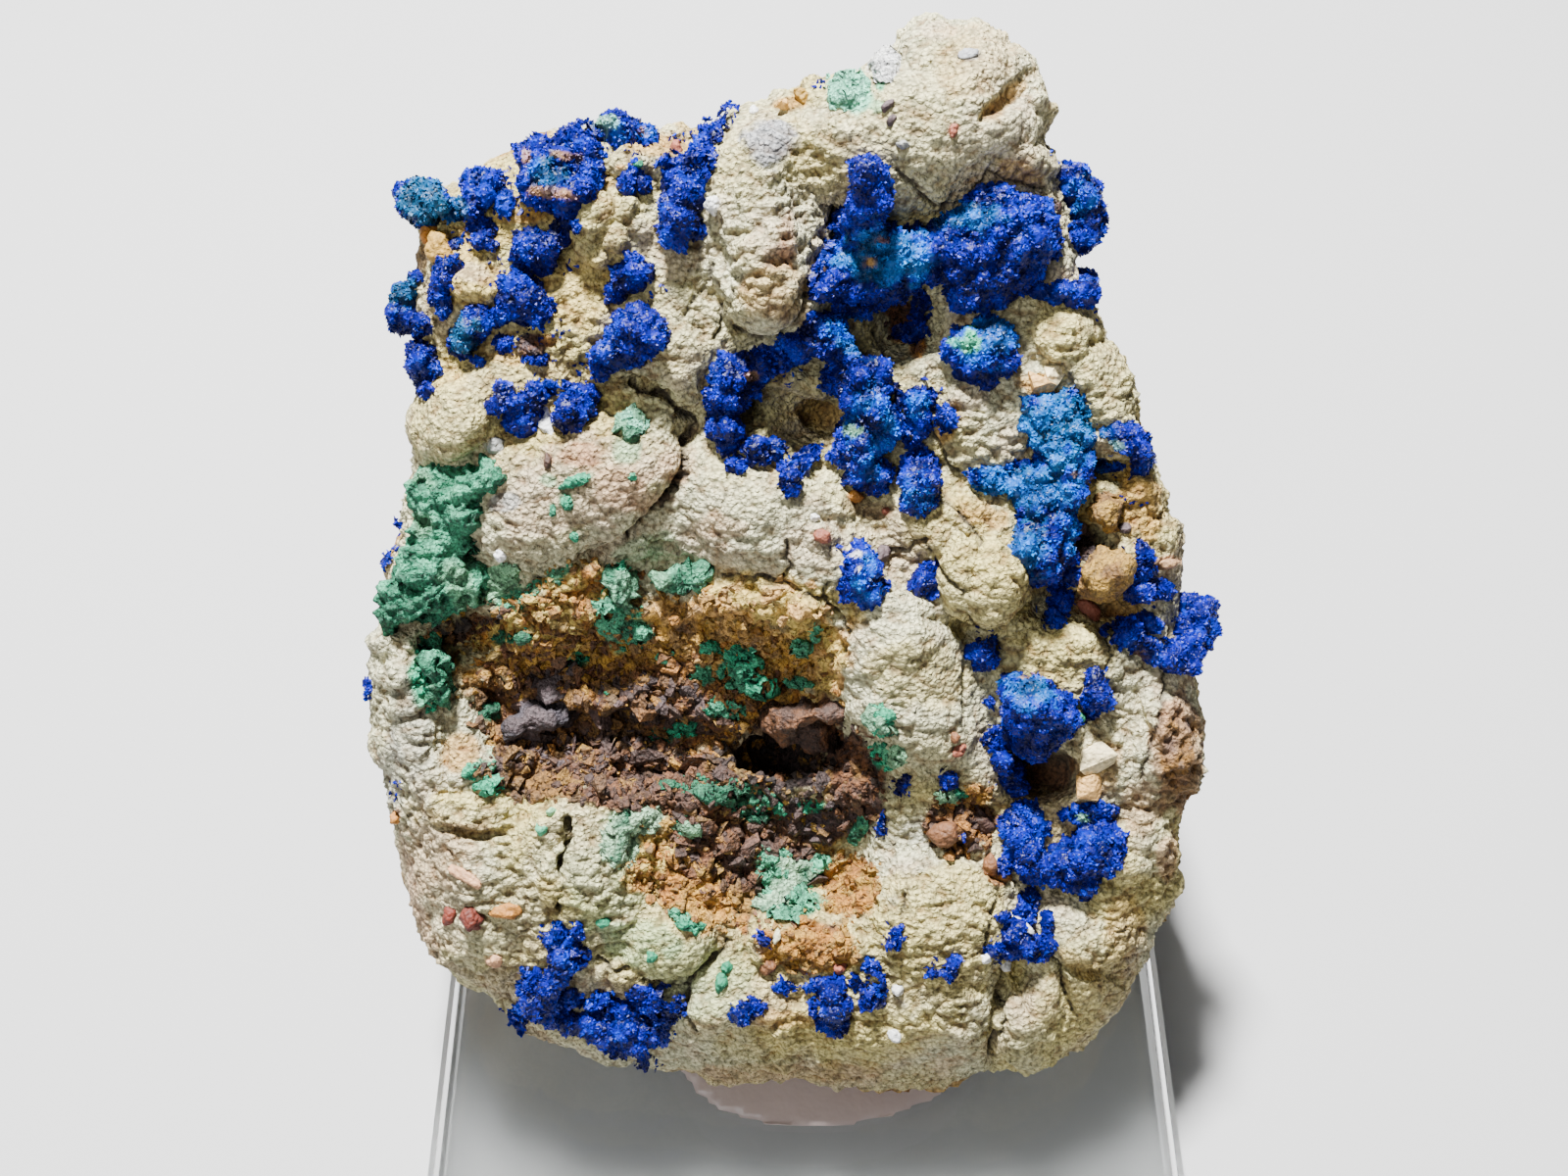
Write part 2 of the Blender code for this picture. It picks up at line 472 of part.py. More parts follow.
def make_matrix():
    """The rock: a face of swellings, hollows and cracks, and a broken wedge of a back."""
    bm = bmesh.new()
    bmesh.ops.create_icosphere(bm, subdivisions=BALL_FINENESS, radius=1)
    ball = np.array([v.co for v in bm.verts], float)
    angle = np.arctan2(ball[:, 1], ball[:, 0])
    latitude = np.arcsin(np.clip(ball[:, 2], -1, 1))
    radius = outline_radius(angle)

    reach = np.sqrt(np.clip(1 - ball[:, 2], 0, 1))
    front_x = CENTRE_X + reach * radius * np.cos(angle)
    front_y = CENTRE_Y - reach * radius * np.sin(angle)
    height = face_height(front_x, front_y)
    right, up = place(front_x, front_y, height)

    rim_right, rim_up = place(
        CENTRE_X + radius * np.cos(angle), CENTRE_Y - radius * np.sin(angle), -RIM_DROP
    )
    inward = np.cos(latitude) ** BACK_FULLNESS
    back_right = rim_right * inward
    back_up = rim_up * inward
    depth = np.sin(np.abs(latitude)) ** BACK_FULLNESS
    behind = -RIM_DROP + (back_height(back_up, -RIM_DROP) + RIM_DROP) * depth

    front = ball[:, 2] > 0
    points = in_world(
        np.where(front, right, back_right),
        np.where(front, up, back_up),
        np.where(front, height, behind),
    )
    outward = points - in_world(0, 0, HEART_HEIGHT)
    outward /= np.linalg.norm(outward, axis=1, keepdims=True)
    broken = roughness(points, BREAK_SIZE, 1) * np.clip(-ball[:, 2] * BREAK_REACH, 0, 1)
    grain = roughness(points, GRAIN_SIZE, 2) * np.clip(np.abs(ball[:, 2]) * GRAIN_REACH, 0, 1)
    points += outward * ((broken * BREAK_HEIGHT + grain * GRAIN_HEIGHT) * MM)[:, None]
    points[:, 2] = np.maximum(points[:, 2], ROCK_FLOOR * MM)
    for vertex, point in zip(bm.verts, np.round(points, DIGITS)):
        vertex.co = point
    mesh = bpy.data.meshes.new("matrix")
    bm.to_mesh(mesh)
    bm.free()
    matrix = decimate(link("matrix", mesh, "matrix"), MATRIX_TRIANGLES)
    for vertex in matrix.data.vertices:
        vertex.co.z = max(vertex.co.z, ROCK_FLOOR * MM)
    return matrix


def make_cutter(matrix):
    """The matrix grown by the gap that the crystals keep to it."""
    cutter = bpy.data.objects.new("matrix_grown", matrix.data.copy())
    CUTTERS.objects.link(cutter)
    grow = cutter.modifiers.new("gap", "DISPLACE")
    grow.strength = GAP * MM
    grow.mid_level = 0
    settle(cutter)
    cutter.hide_render = True
    cutter.display_type = "WIRE"
    return cutter


def add_lump(bm, lump, seed):
    """One rough ball, standing on the matrix along the matrix's own normal."""
    px, py, half_width, rise = lump
    height = float(face_height(px, py))
    corners = [(px, py), (px + NORMAL_STEP, py), (px, py - NORMAL_STEP)]
    foot, beside, above = (
        Vector(in_world(*place(x, y, face_height(x, y)), face_height(x, y))) for x, y in corners
    )
    normal = (beside - foot).cross(above - foot).normalized()
    normal = (normal + FACE_PULL * FACE_NORMAL).normalized()
    radius = half_width / FOCAL * (FACE_DISTANCE - height) * MM
    tall = max(rise * MM, radius) * LUMP_DEPTH
    centre = foot + normal * (rise * MM - tall)
    frame = (
        Matrix.Translation(centre)
        @ normal.to_track_quat("Z", "Y").to_matrix().to_4x4()
        @ Matrix.Diagonal((radius, radius, tall, 1))
    )
    made = bmesh.ops.create_icosphere(bm, subdivisions=LUMP_FINENESS, radius=1)["verts"]
    shift = Vector((seed, 2 * seed, 3 * seed))
    for vertex in made:
        spot = vertex.co * BUMP_SCALE + shift
        bump = noise.fractal(spot, BUMP_ROUGHNESS, NOISE_STEP, NOISE_OCTAVES)
        vertex.co = frame @ (vertex.co * (LUMP_SIZE + LUMP_BUMPS * bump))


def make_growth(name, lumps, finish, cutter, seed):
    """One druse or crust: lumps fused into one solid, its foot cut to the matrix."""
    bm = bmesh.new()
    for number, lump in enumerate(lumps):
        add_lump(bm, lump, seed + LUMP_SEED_STEP * number)
    for vertex in bm.verts:
        vertex.co = Vector(round(value, DIGITS) for value in vertex.co)
    mesh = bpy.data.meshes.new(name)
    bm.to_mesh(mesh)
    bm.free()
    growth = link(name, mesh, finish)
    fuse = growth.modifiers.new("fuse", "REMESH")
    fuse.mode = "VOXEL"
    fuse.voxel_size = CLUSTER_VOXEL * MM
    settle(growth)
    decimate(growth, CLUSTER_TRIANGLES + LUMP_TRIANGLES * len(lumps))
    trim = growth.modifiers.new("foot", "BOOLEAN")
    trim.operation = "DIFFERENCE"
    trim.object = cutter
    trim.use_self = True
    settle(growth)
    keep_largest_piece(growth.data)
    return growth


def make_base():
    """The clear acrylic block that the rock stands on."""
    bpy.ops.mesh.primitive_cube_add(size=1, location=(0, 0, BASE_THICK * MM / 2))
    block = bpy.context.object
    block.name = block.data.name = "display_base"
    block.data.transform(Matrix.Diagonal((BASE_SIDE * MM, BASE_SIDE * MM, BASE_THICK * MM, 1)))
    for collection in block.users_collection:
        collection.objects.unlink(block)
    SPECIMEN.objects.link(block)
    block.data.materials.append(FINISH_MATERIALS["acrylic"])
    edges = block.modifiers.new("polished_edges", "BEVEL")
    edges.width = BASE_BEVEL * MM
    edges.segments = 1
    return block


def make_pad():
    """The squeezed pad of adhesive between the rock's underside and the base."""
    thickness = PAD_SPACE - 2 * GAP
    bm = bmesh.new()
    bmesh.ops.create_uvsphere(bm, u_segments=PAD_SEGMENTS, v_segments=PAD_RINGS, radius=1)
    for vertex in bm.verts:
        x, y, z = vertex.co
        around = math.atan2(y, x)
        swell = 1 + sum(tall * math.sin(count * around + start) for count, tall, start in PAD_WAVES)
        reach = math.hypot(x, y)
        stretch = swell * reach ** (PAD_FULLNESS - 1) if reach else 0
        vertex.co = (
            (PAD_CENTRE[0] + PAD_RADII[0] * x * stretch) * MM,
            (PAD_CENTRE[1] + PAD_RADII[1] * y * stretch) * MM,
            (BASE_THICK + GAP + thickness * (0.5 + 0.5 * z)) * MM,
        )
    mesh = bpy.data.meshes.new("adhesive_pad")
    bm.to_mesh(mesh)
    bm.free()
    return link("adhesive_pad", mesh, "adhesive")


for old in list(bpy.data.objects):
    bpy.data.objects.remove(old)

SPECIMEN = bpy.data.collections.new("azurite_specimen")
CUTTERS = bpy.data.collections.new("cutters")
bpy.context.scene.collection.children.link(SPECIMEN)
bpy.context.scene.collection.children.link(CUTTERS)
FINISH_MATERIALS = make_finishes()

rock = make_matrix()
grown_rock = make_cutter(rock)
for number, (druse, lumps) in enumerate(AZURITE.items()):
    make_growth(druse, lumps, "azurite", grown_rock, AZURITE_SEED + number)
for number, (crust, lumps) in enumerate(MALACHITE.items()):
    make_growth(crust, lumps, "malachite", grown_rock, MALACHITE_SEED + number)
for number, (nugget, lumps) in enumerate(LIMONITE.items()):
    make_growth(nugget, lumps, nugget.split("_")[0], grown_rock, LIMONITE_SEED + number)
make_base()
make_pad()
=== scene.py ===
"""Looks for the azurite specimen: clay matrix, azurite druses, malachite, iron oxide crumbs,
adhesive pad and acrylic base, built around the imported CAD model.

Metres, +Z up, the viewer towards -Y. A place on the rock's face is named by the picture point
(px, py) where the camera sees it, in a picture of 1600 by 1200 points, and a piece placed there
sits on the rock's surface.
"""

import itertools
import math

import bmesh
import bpy
import numpy as np
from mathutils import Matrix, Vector
from mathutils.bvhtree import BVHTree


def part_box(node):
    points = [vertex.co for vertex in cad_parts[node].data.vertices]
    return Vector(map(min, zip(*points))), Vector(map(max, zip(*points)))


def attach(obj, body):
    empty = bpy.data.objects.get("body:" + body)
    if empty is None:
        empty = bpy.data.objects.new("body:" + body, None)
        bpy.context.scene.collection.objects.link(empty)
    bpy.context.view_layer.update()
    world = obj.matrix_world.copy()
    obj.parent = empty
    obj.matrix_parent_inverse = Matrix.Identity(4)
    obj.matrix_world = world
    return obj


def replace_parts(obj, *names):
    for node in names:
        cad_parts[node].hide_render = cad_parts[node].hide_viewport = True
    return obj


MM = 0.001
SEED = 7

# The camera, where the photographer stood
EYE = np.array((-2.2, -78.3, 180.6)) * MM
VIEW_PITCH = math.radians(56)
LENS, SENSOR = 38, 36
PICTURE_WIDTH, PICTURE_HEIGHT = 1600, 1200
FOCAL = PICTURE_WIDTH * LENS / SENSOR
FORWARD = np.array((0, math.cos(VIEW_PITCH), -math.sin(VIEW_PITCH)))
UPWARD = np.array((0, math.sin(VIEW_PITCH), math.cos(VIEW_PITCH)))
RIGHTWARD = np.array((1.0, 0, 0))

# Mesh fineness in millimetres, coarser while trying things
FINENESS = 1.0
MATRIX_VOXEL = 0.30 * FINENESS
GROWTH_VOXEL = 0.28 * FINENESS
PAD_VOXEL = 0.8 * FINENESS
CRYSTAL_SPACING = 0.28 * FINENESS
# Fineness of the low crusts in picture points
CRUST_STEP = 3.0 * FINENESS
# Share of the triangles of the rock's back that is kept; the back faces the eye less than this
BACK_SHARE, BACK_FACING = 0.14, 0.02

# The rock's face is parted here, in picture points down, to keep each piece's mesh small
FACE_SPLIT = 560

# The floor lies a hair under the base, so that the two faces don't coincide
FLOOR_GAP = 0.2 * MM
# The rock's relief stays this far over the lowest point of its CAD foot, and fades in above it
FOOT_GAP, FOOT_FADE = 0.05 * MM, 1.2 * MM

# Noise fields: size in millimetres and seed
NOISES = {
    "swell": (5.5, 1), "ragged": (2.0, 5), "ripple": (3.0, 8), "knobs": (2.7, 9),
    "cobbles": (1.25, 11), "granules": (0.66, 13), "rows": (2.4, 15), "coarse": (7.0, 17),
    "fine_wander": (0.9, 21), "wide_wander": (2.6, 23), "bend_x": (2.2, 25), "bend_y": (2.2, 27),
    "iron_lumps": (2.0, 31), "iron_bits": (0.95, 33), "back_plates": (8.0, 41),
    "back_swell": (9.0, 43), "wide_tone": (11.0, 51), "mid_tone": (4.5, 53), "stain": (9.0, 57),
    "iron_tone": (1.6, 61), "ashen": (2.4, 63), "rusty": (1.8, 65), "pebble": (0.8, 81),
    "growth": (2.0, 91), "azurite_tone": (1.4, 93), "weathering": (1.0, 94),
    "malachite_tone": (1.5, 101), "mist": (3.5, 103), "holes": (1.3, 105),
    "nugget_tone": (1.8, 107), "pad_edge": (4.0, 111), "crust_edge": (1.1, 121),
    "crust_tone": (1.2, 131),
}

# The clay's relief in millimetres: swellings, knobs, then what cobbles and granules have
# everywhere and what they gain where the clay is coarse
SWELL_HEIGHT, KNOB_HEIGHT = 0.42, 0.40
COBBLE_HEIGHT, COARSE_COBBLE = 0.26, 0.42
GRANULE_HEIGHT, COARSE_GRANULE = 0.30, 0.34
# The iron oxide ground's lumps and bits, and the plates and swellings of the broken back
IRON_LUMP, IRON_BIT, IRON_SINK = 1.5, 0.8, 0.1
PLATE_HEIGHT, BACK_SWELL, BACK_SINK = 1.5, 0.9, 1.1
# A grain's mean distance to its middle, in grain sizes, so that relief is even about 0
GRAIN_MEAN = 0.55

# The column at the top is finely rippled: its ellipse, the ripples' height in millimetres, and
# their spacing and wander in picture points
COLUMN = (778, 240, 60, 95, 0)
RIPPLE_HEIGHT, RIPPLE_SPACING, RIPPLE_WANDER = 0.05, 13, 16
# Wander of the knobs' outlines and of the cracks in picture points
KNOB_WANDER, FINE_WANDER, WIDE_WANDER = 5, 2.6, 3.5

# The little balls that growths are made of: the size of azurite's in millimetres, and the seed
# of their places
BALL_SIZE, BALL_SEED = 1.7, 95
# Balls on each kind of growth: size and height in millimetres
AZURITE_BALLS = [(BALL_SIZE, 1.25), (0.8, 0.45)]
TUFT_BALLS = [(BALL_SIZE, 1.0), (0.8, 0.4)]
GREEN_CRUST_BALLS = [(1.2, 0.8), (0.6, 0.55)]
NUGGET_BALLS = [(1.7, 0.8), (0.8, 0.6)]
# A low crust's grid reaches this share of its ellipse, its edge sinks this many millimetres
# into the rock, and a square of it that spreads wider than this is left out
CRUST_REACH, CRUST_SINK, CRUST_STRETCH = 1.12, 0.35, 1.4 * MM
# How far a growth's foot reaches for the rock and how deep it goes in, in millimetres
ROOT_REACH, ROOT_DEPTH = 1.0, 0.5

# Azurite crystals: width on a druse, on a tuft and alone, height in millimetres and lean
DRUSE_WIDTH, TUFT_WIDTH, SPRINKLE_WIDTH = 0.30, 0.28, 0.36
CRYSTAL_HEIGHT, SPRINKLE_HEIGHT = 0.29, 0.6
CRYSTAL_LEAN, SPRINKLE_LEAN = 0.6, 0.8
# The shapes of crystal: width, thickness and skew of the chisel edge
BLADES = [(1.0, 0.8, 0.1), (0.8, 0.9, -0.15), (1.2, 0.6, 0.0), (0.9, 1.0, 0.2)]
# How much darker than its crystals a druse's core is: painted shade under the crystals
CORE_SHADE = 0.8

# Finishes that take their colour from the vertices. Blotches and speckles: size in millimetres
# and darkest level. Cells: size, height and how dark the painted shade in the creases between
# them is. Relief: sizes and heights of finer bumps.
FINISHES = {
    "clay": {
        "roughness": 0.92, "blotches": (3.0, 0.84), "speckles": (0.35, 0.72),
        "cells": (0.46, 0.34, 0.48), "relief": [(0.9, 0.35), (0.3, 0.25)],
    },
    "iron_oxide": {
        "roughness": 0.75, "blotches": (1.2, 0.6), "speckles": (0.25, 0.6),
        "cells": (0.42, 0.25, 0.5), "relief": [(0.5, 0.35), (0.18, 0.15)], "rough_spread": 0.2,
    },
    "malachite": {
        "roughness": 0.75, "blotches": (1.4, 0.7), "speckles": (0.3, 0.6),
        "cells": (0.40, 0.32, 0.42), "relief": [(0.6, 0.35), (0.2, 0.18)],
    },
    "azurite": {
        "roughness": 0.42, "blotches": (1.0, 0.75), "speckles": (0.3, 0.8),
        "cells": (0.25, 0.05, 0.85), "relief": [(0.3, 0.05)], "rough_spread": 0.16, "ior": 1.6,
        "specular": 0.15,
    },
    "inclusion": {
        "roughness": 0.7, "blotches": (1.4, 0.8), "speckles": (0.3, 0.75),
        "cells": (0.5, 0.15, 0.75), "relief": [(0.5, 0.25)],
    },
}

# Nuggets of iron oxide: dark and light colour, and how far they tend to the light one
NUGGETS = {
    "limonite": ("umber", "tan", 0.6),
    "goethite_block": ("chocolate", "rust", 0.45),
    "goethite_rod": ("slate", "purple", 0.35),
}

# Lamps: name, place and size in metres and power, then the point that they light, the sky and
# the floor
LAMPS = [
    ("key", (-0.08, 0.21, 0.60), 0.07, 26.0),
    ("fill", (-0.30, -0.40, 0.50), 0.4, 2.2),
]
LIT_POINT = Vector((0, 0, 0.05))
SKY_COLOUR, SKY_STRENGTH = (0.93, 0.96, 1.0, 1), 0.11
FLOOR_SIZE, FLOOR_COLOUR = 3, (0.42, 0.42, 0.42, 1)

# Linear colours
COLOURS = {
    "cream": (0.620, 0.555, 0.250),
    "pale": (0.710, 0.685, 0.430),
    "pink": (0.630, 0.490, 0.325),
    "blush": (0.570, 0.300, 0.150),
    "yellow": (0.700, 0.580, 0.185),
    "sand": (0.740, 0.540, 0.130),
    "khaki": (0.660, 0.580, 0.240),
    "grey": (0.360, 0.360, 0.340),
    "bluegrey": (0.380, 0.390, 0.410),
    "white": (0.860, 0.860, 0.840),
    "ochre": (0.600, 0.320, 0.045),
    "orange": (0.440, 0.175, 0.020),
    "rust": (0.200, 0.076, 0.024),
    "brick": (0.300, 0.085, 0.045),
    "red": (0.150, 0.020, 0.007),
    "chocolate": (0.080, 0.038, 0.024),
    "purple": (0.100, 0.068, 0.072),
    "slate": (0.062, 0.052, 0.066),
    "black": (0.026, 0.016, 0.013),
    "green": (0.010, 0.215, 0.105),
    "deep_green": (0.004, 0.150, 0.066),
    "pale_green": (0.075, 0.460, 0.245),
    "bright_green": (0.015, 0.450, 0.225),
    "mint": (0.200, 0.660, 0.430),
    "mist_green": (0.290, 0.640, 0.340),
    "celadon": (0.430, 0.700, 0.420),
    "azure": (0.030, 0.120, 0.600),
    "teal": (0.008, 0.110, 0.230),
    "sea": (0.006, 0.230, 0.520),
    "tan": (0.460, 0.260, 0.036),
    "umber": (0.240, 0.115, 0.022),
    "flesh": (0.400, 0.225, 0.105),
    "apricot": (0.740, 0.420, 0.130),
    "peach": (0.760, 0.640, 0.360),
    # painted shade that fills the cracks
    "crack": (0.050, 0.036, 0.026),
}

# Patches of colour on the matrix: colour, strength, centre, half sizes, turn in degrees
PATCHES = [
    ("yellow", 0.55, 560, 265, 150, 120, 0), ("cream", 0.6, 700, 330, 70, 60, 0),
    ("tan", 0.55, 560, 215, 46, 18, 0), ("sand", 0.6, 590, 300, 50, 40, 0),
    ("tan", 0.5, 470, 250, 30, 22, 0),
    ("sand", 0.7, 500, 240, 34, 22, 0), ("tan", 0.45, 540, 290, 24, 14, 0),
    ("ochre", 0.5, 602, 190, 30, 14, 0),
    ("sand", 0.5, 440, 385, 40, 24, 0), ("ochre", 0.5, 520, 365, 30, 10, 0),
    ("tan", 0.6, 708, 128, 20, 12, 0),
    ("ochre", 0.9, 449, 251, 17, 18, 0), ("rust", 0.7, 430, 262, 10, 16, 0),
    ("sand", 0.75, 487, 290, 36, 28, 0), ("pink", 0.6, 482, 279, 20, 12, 0),
    ("ochre", 0.7, 532, 222, 30, 9, 0), ("orange", 0.6, 560, 180, 26, 20, 0),
    ("khaki", 0.9, 606, 228, 22, 34, 10), ("khaki", 0.8, 640, 205, 32, 22, -20),
    ("orange", 0.35, 620, 215, 8, 20, 20), ("ochre", 0.75, 668, 148, 44, 14, 6),
    ("rust", 0.8, 689, 153, 8, 7, 0), ("rust", 0.7, 655, 136, 7, 5, 0),
    ("orange", 0.7, 633, 170, 6, 4, 0), ("purple", 0.8, 542, 352, 19, 13, 0),
    ("orange", 0.8, 560, 347, 10, 8, 0), ("grey", 0.4, 650, 240, 16, 22, 0),
    ("pale", 0.5, 940, 120, 120, 90, 0), ("pink", 0.6, 957, 32, 22, 14, 0),
    ("ochre", 0.3, 1000, 60, 60, 44, 0), ("bluegrey", 0.8, 989, 55, 12, 8, 0),
    # Painted shade: the ochre and rust streaks at 1024,103 and 1016,110 darken the crease under the
    # nub's right lobe
    ("ochre", 0.6, 1024, 103, 32, 10, -44), ("rust", 0.5, 1016, 110, 20, 6, -44),
    ("brick", 0.8, 973, 132, 6, 9, 10), ("purple", 0.8, 905, 108, 9, 4, -35),
    ("purple", 0.7, 910, 122, 8, 4, -50), ("grey", 0.6, 921, 147, 9, 5, 0),
    ("ochre", 0.55, 1040, 175, 26, 12, 20), ("yellow", 0.7, 925, 226, 40, 10, -12),
    ("white", 0.9, 902, 66, 19, 22, 0), ("mint", 0.95, 868, 94, 27, 26, 0),
    ("pale_green", 0.9, 898, 86, 7, 9, 0), ("mist_green", 0.7, 895, 108, 10, 8, 0),
    ("ochre", 0.9, 806, 104, 24, 9, -12), ("rust", 0.7, 800, 107, 7, 5, 0),
    ("khaki", 0.8, 834, 96, 12, 16, 0), ("bluegrey", 0.95, 785, 145, 31, 29, 0),
    ("grey", 0.5, 772, 158, 12, 10, 0), ("white", 0.95, 727, 208, 10, 9, 0),
    ("pink", 0.5, 790, 235, 34, 46, 0), ("blush", 0.5, 804, 240, 10, 34, 0),
    ("brick", 0.35, 790, 262, 20, 16, 0), ("ochre", 0.5, 790, 300, 36, 34, 0),
    ("tan", 0.7, 838, 424, 28, 20, 10),
    # Painted shade: the rust patch at 800,322 darkens the column's foot under its overhang, over
    # its own tan
    ("rust", 0.35, 800, 322, 30, 16, 0), ("pink", 0.5, 690, 250, 40, 40, 0),
    ("khaki", 0.75, 458, 430, 52, 42, 0), ("grey", 0.75, 503, 456, 12, 9, 0),
    ("pink", 0.7, 600, 492, 110, 62, -14), ("blush", 0.65, 592, 464, 26, 14, 0),
    ("red", 0.35, 598, 468, 10, 9, 0), ("red", 0.3, 560, 500, 8, 8, 0),
    ("blush", 0.45, 640, 500, 40, 30, 0), ("mist_green", 0.6, 640, 455, 20, 22, 0),
    ("celadon", 0.95, 638, 850, 38, 30, -20), ("green", 0.75, 586, 492, 22, 7, -22),
    ("green", 0.8, 578, 512, 8, 12, -20),
    ("green", 0.6, 564, 520, 5, 8, 0), ("mist_green", 0.6, 560, 490, 12, 9, 0),
    ("rust", 0.8, 559, 470, 6, 9, 0), ("grey", 0.85, 512, 512, 20, 11, -15),
    ("green", 0.7, 645, 488, 4, 5, 0), ("green", 0.5, 586, 548, 8, 6, 0),
    ("mist_green", 0.35, 655, 560, 40, 18, -20), ("pale", 0.7, 782, 532, 96, 58, 20),
    ("blush", 0.4, 735, 540, 34, 16, 0), ("blush", 0.35, 690, 470, 30, 26, 0),
    ("pink", 0.5, 830, 560, 40, 30, 0), ("yellow", 0.45, 965, 545, 50, 44, 0),
    ("pale", 0.4, 925, 690, 56, 90, -12), ("orange", 0.85, 936, 355, 10, 18, 0),
    ("orange", 0.8, 920, 330, 14, 22, 0), ("ochre", 0.75, 968, 428, 13, 26, 20),
    ("yellow", 0.7, 950, 465, 14, 14, 0), ("ochre", 0.7, 1003, 526, 38, 15, 22),
    ("yellow", 0.6, 985, 500, 26, 22, 0), ("orange", 0.8, 872, 506, 9, 6, 0),
    ("brick", 0.7, 904, 522, 5, 5, 0), ("purple", 0.95, 900, 566, 8, 15, 20),
    ("brick", 0.6, 840, 548, 11, 9, 0), ("rust", 0.5, 890, 520, 34, 12, 12),
    ("ochre", 0.8, 1062, 395, 26, 16, 20), ("yellow", 0.8, 1080, 385, 16, 12, 0),
    ("khaki", 0.7, 1130, 390, 46, 60, 0), ("khaki", 0.5, 1110, 330, 60, 34, 0),
    ("yellow", 0.6, 1176, 515, 30, 62, 0), ("khaki", 0.45, 1000, 592, 62, 62, 0),
    ("khaki", 0.25, 1110, 1000, 62, 90, 0),
    ("khaki", 0.5, 955, 960, 90, 90, 0), ("khaki", 0.4, 1060, 660, 60, 40, 0),
    ("khaki", 0.4, 870, 1050, 90, 40, 0),
    ("yellow", 0.3, 1150, 900, 46, 60, 0), ("blush", 0.9, 1167, 440, 5, 11, 0),
    ("ochre", 0.75, 1160, 520, 30, 50, 0), ("blush", 0.9, 1190, 574, 17, 8, -8),
    ("chocolate", 0.9, 1108, 548, 14, 12, 0), ("purple", 0.9, 1106, 566, 10, 8, 0),
    ("ochre", 0.7, 1145, 610, 40, 30, 0), ("brick", 0.9, 1110, 623, 17, 9, 35),
    ("rust", 0.5, 1090, 612, 26, 14, 20), ("rust", 0.4, 1060, 602, 24, 10, 0),
    ("yellow", 0.5, 1100, 670, 50, 50, 0), ("flesh", 0.85, 1206, 765, 32, 74, 0),
    ("umber", 0.6, 1200, 806, 24, 18, 0), ("blush", 0.5, 1196, 740, 16, 30, 0),
    # Painted shadow: the chocolate patch fills the dark hollow at 1064,786 under the azurite druse
    ("chocolate", 0.9, 1064, 786, 34, 22, 0),
    ("blush", 0.5, 1165, 830, 26, 44, 0), ("pale", 0.6, 1170, 870, 26, 30, 0),
    ("blush", 0.6, 1192, 875, 12, 30, 0), ("orange", 0.5, 1120, 786, 26, 32, 0),
    ("rust", 0.6, 1060, 800, 36, 20, 0), ("bright_green", 0.7, 1103, 735, 5, 5, 0),
    ("yellow", 0.5, 1130, 900, 46, 46, 0), ("ochre", 0.5, 1100, 985, 30, 12, 30),
    ("ochre", 0.45, 1150, 950, 24, 44, 0), ("rust", 0.35, 1140, 1000, 30, 30, -30),
    ("yellow", 0.5, 960, 950, 84, 80, 0), ("yellow", 0.5, 1000, 592, 60, 60, 0),
    ("yellow", 0.4, 1110, 1010, 70, 60, 0),
    ("yellow", 0.5, 940, 690, 60, 40, 0), ("yellow", 0.35, 860, 1060, 140, 30, 0),
    ("bluegrey", 0.3, 945, 850, 34, 16, 0),
    ("azure", 0.35, 972, 848, 16, 6, 0), ("grey", 0.5, 914, 1028, 12, 12, 0),
    ("blush", 0.45, 440, 900, 60, 90, 0), ("pale", 0.5, 500, 925, 70, 60, 0),
    ("mist_green", 0.25, 610, 900, 60, 50, 20), ("pale", 0.5, 590, 870, 60, 60, 0),
    ("mist_green", 0.4, 650, 960, 50, 26, 0), ("yellow", 0.5, 480, 830, 70, 26, 0),
    # Painted shadow: the rust streak at 480,846 is the shade under the ledge
    ("rust", 0.6, 480, 846, 36, 6, 6), ("ochre", 0.7, 470, 765, 24, 26, 0),
    ("yellow", 0.6, 500, 815, 60, 14, 0), ("orange", 0.9, 403, 834, 6, 10, 20),
    ("grey", 0.4, 398, 800, 14, 60, 0), ("grey", 0.4, 420, 740, 26, 60, 0),
    ("blush", 0.8, 475, 895, 22, 6, 30), ("blush", 0.8, 504, 981, 9, 6, 0),
    ("rust", 0.5, 530, 1062, 60, 14, 14), ("orange", 0.3, 800, 1095, 120, 12, 0),
    ("yellow", 0.6, 870, 1050, 90, 30, 0), ("ochre", 0.5, 800, 1040, 44, 10, 0),
    ("mist_green", 0.25, 720, 1000, 60, 50, 0), ("mist_green", 0.6, 510, 768, 18, 10, 0),
    ("sand", 0.8, 790, 614, 92, 32, 6), ("ochre", 0.6, 752, 628, 50, 22, 0),
    ("yellow", 0.6, 836, 618, 36, 24, 10),
]

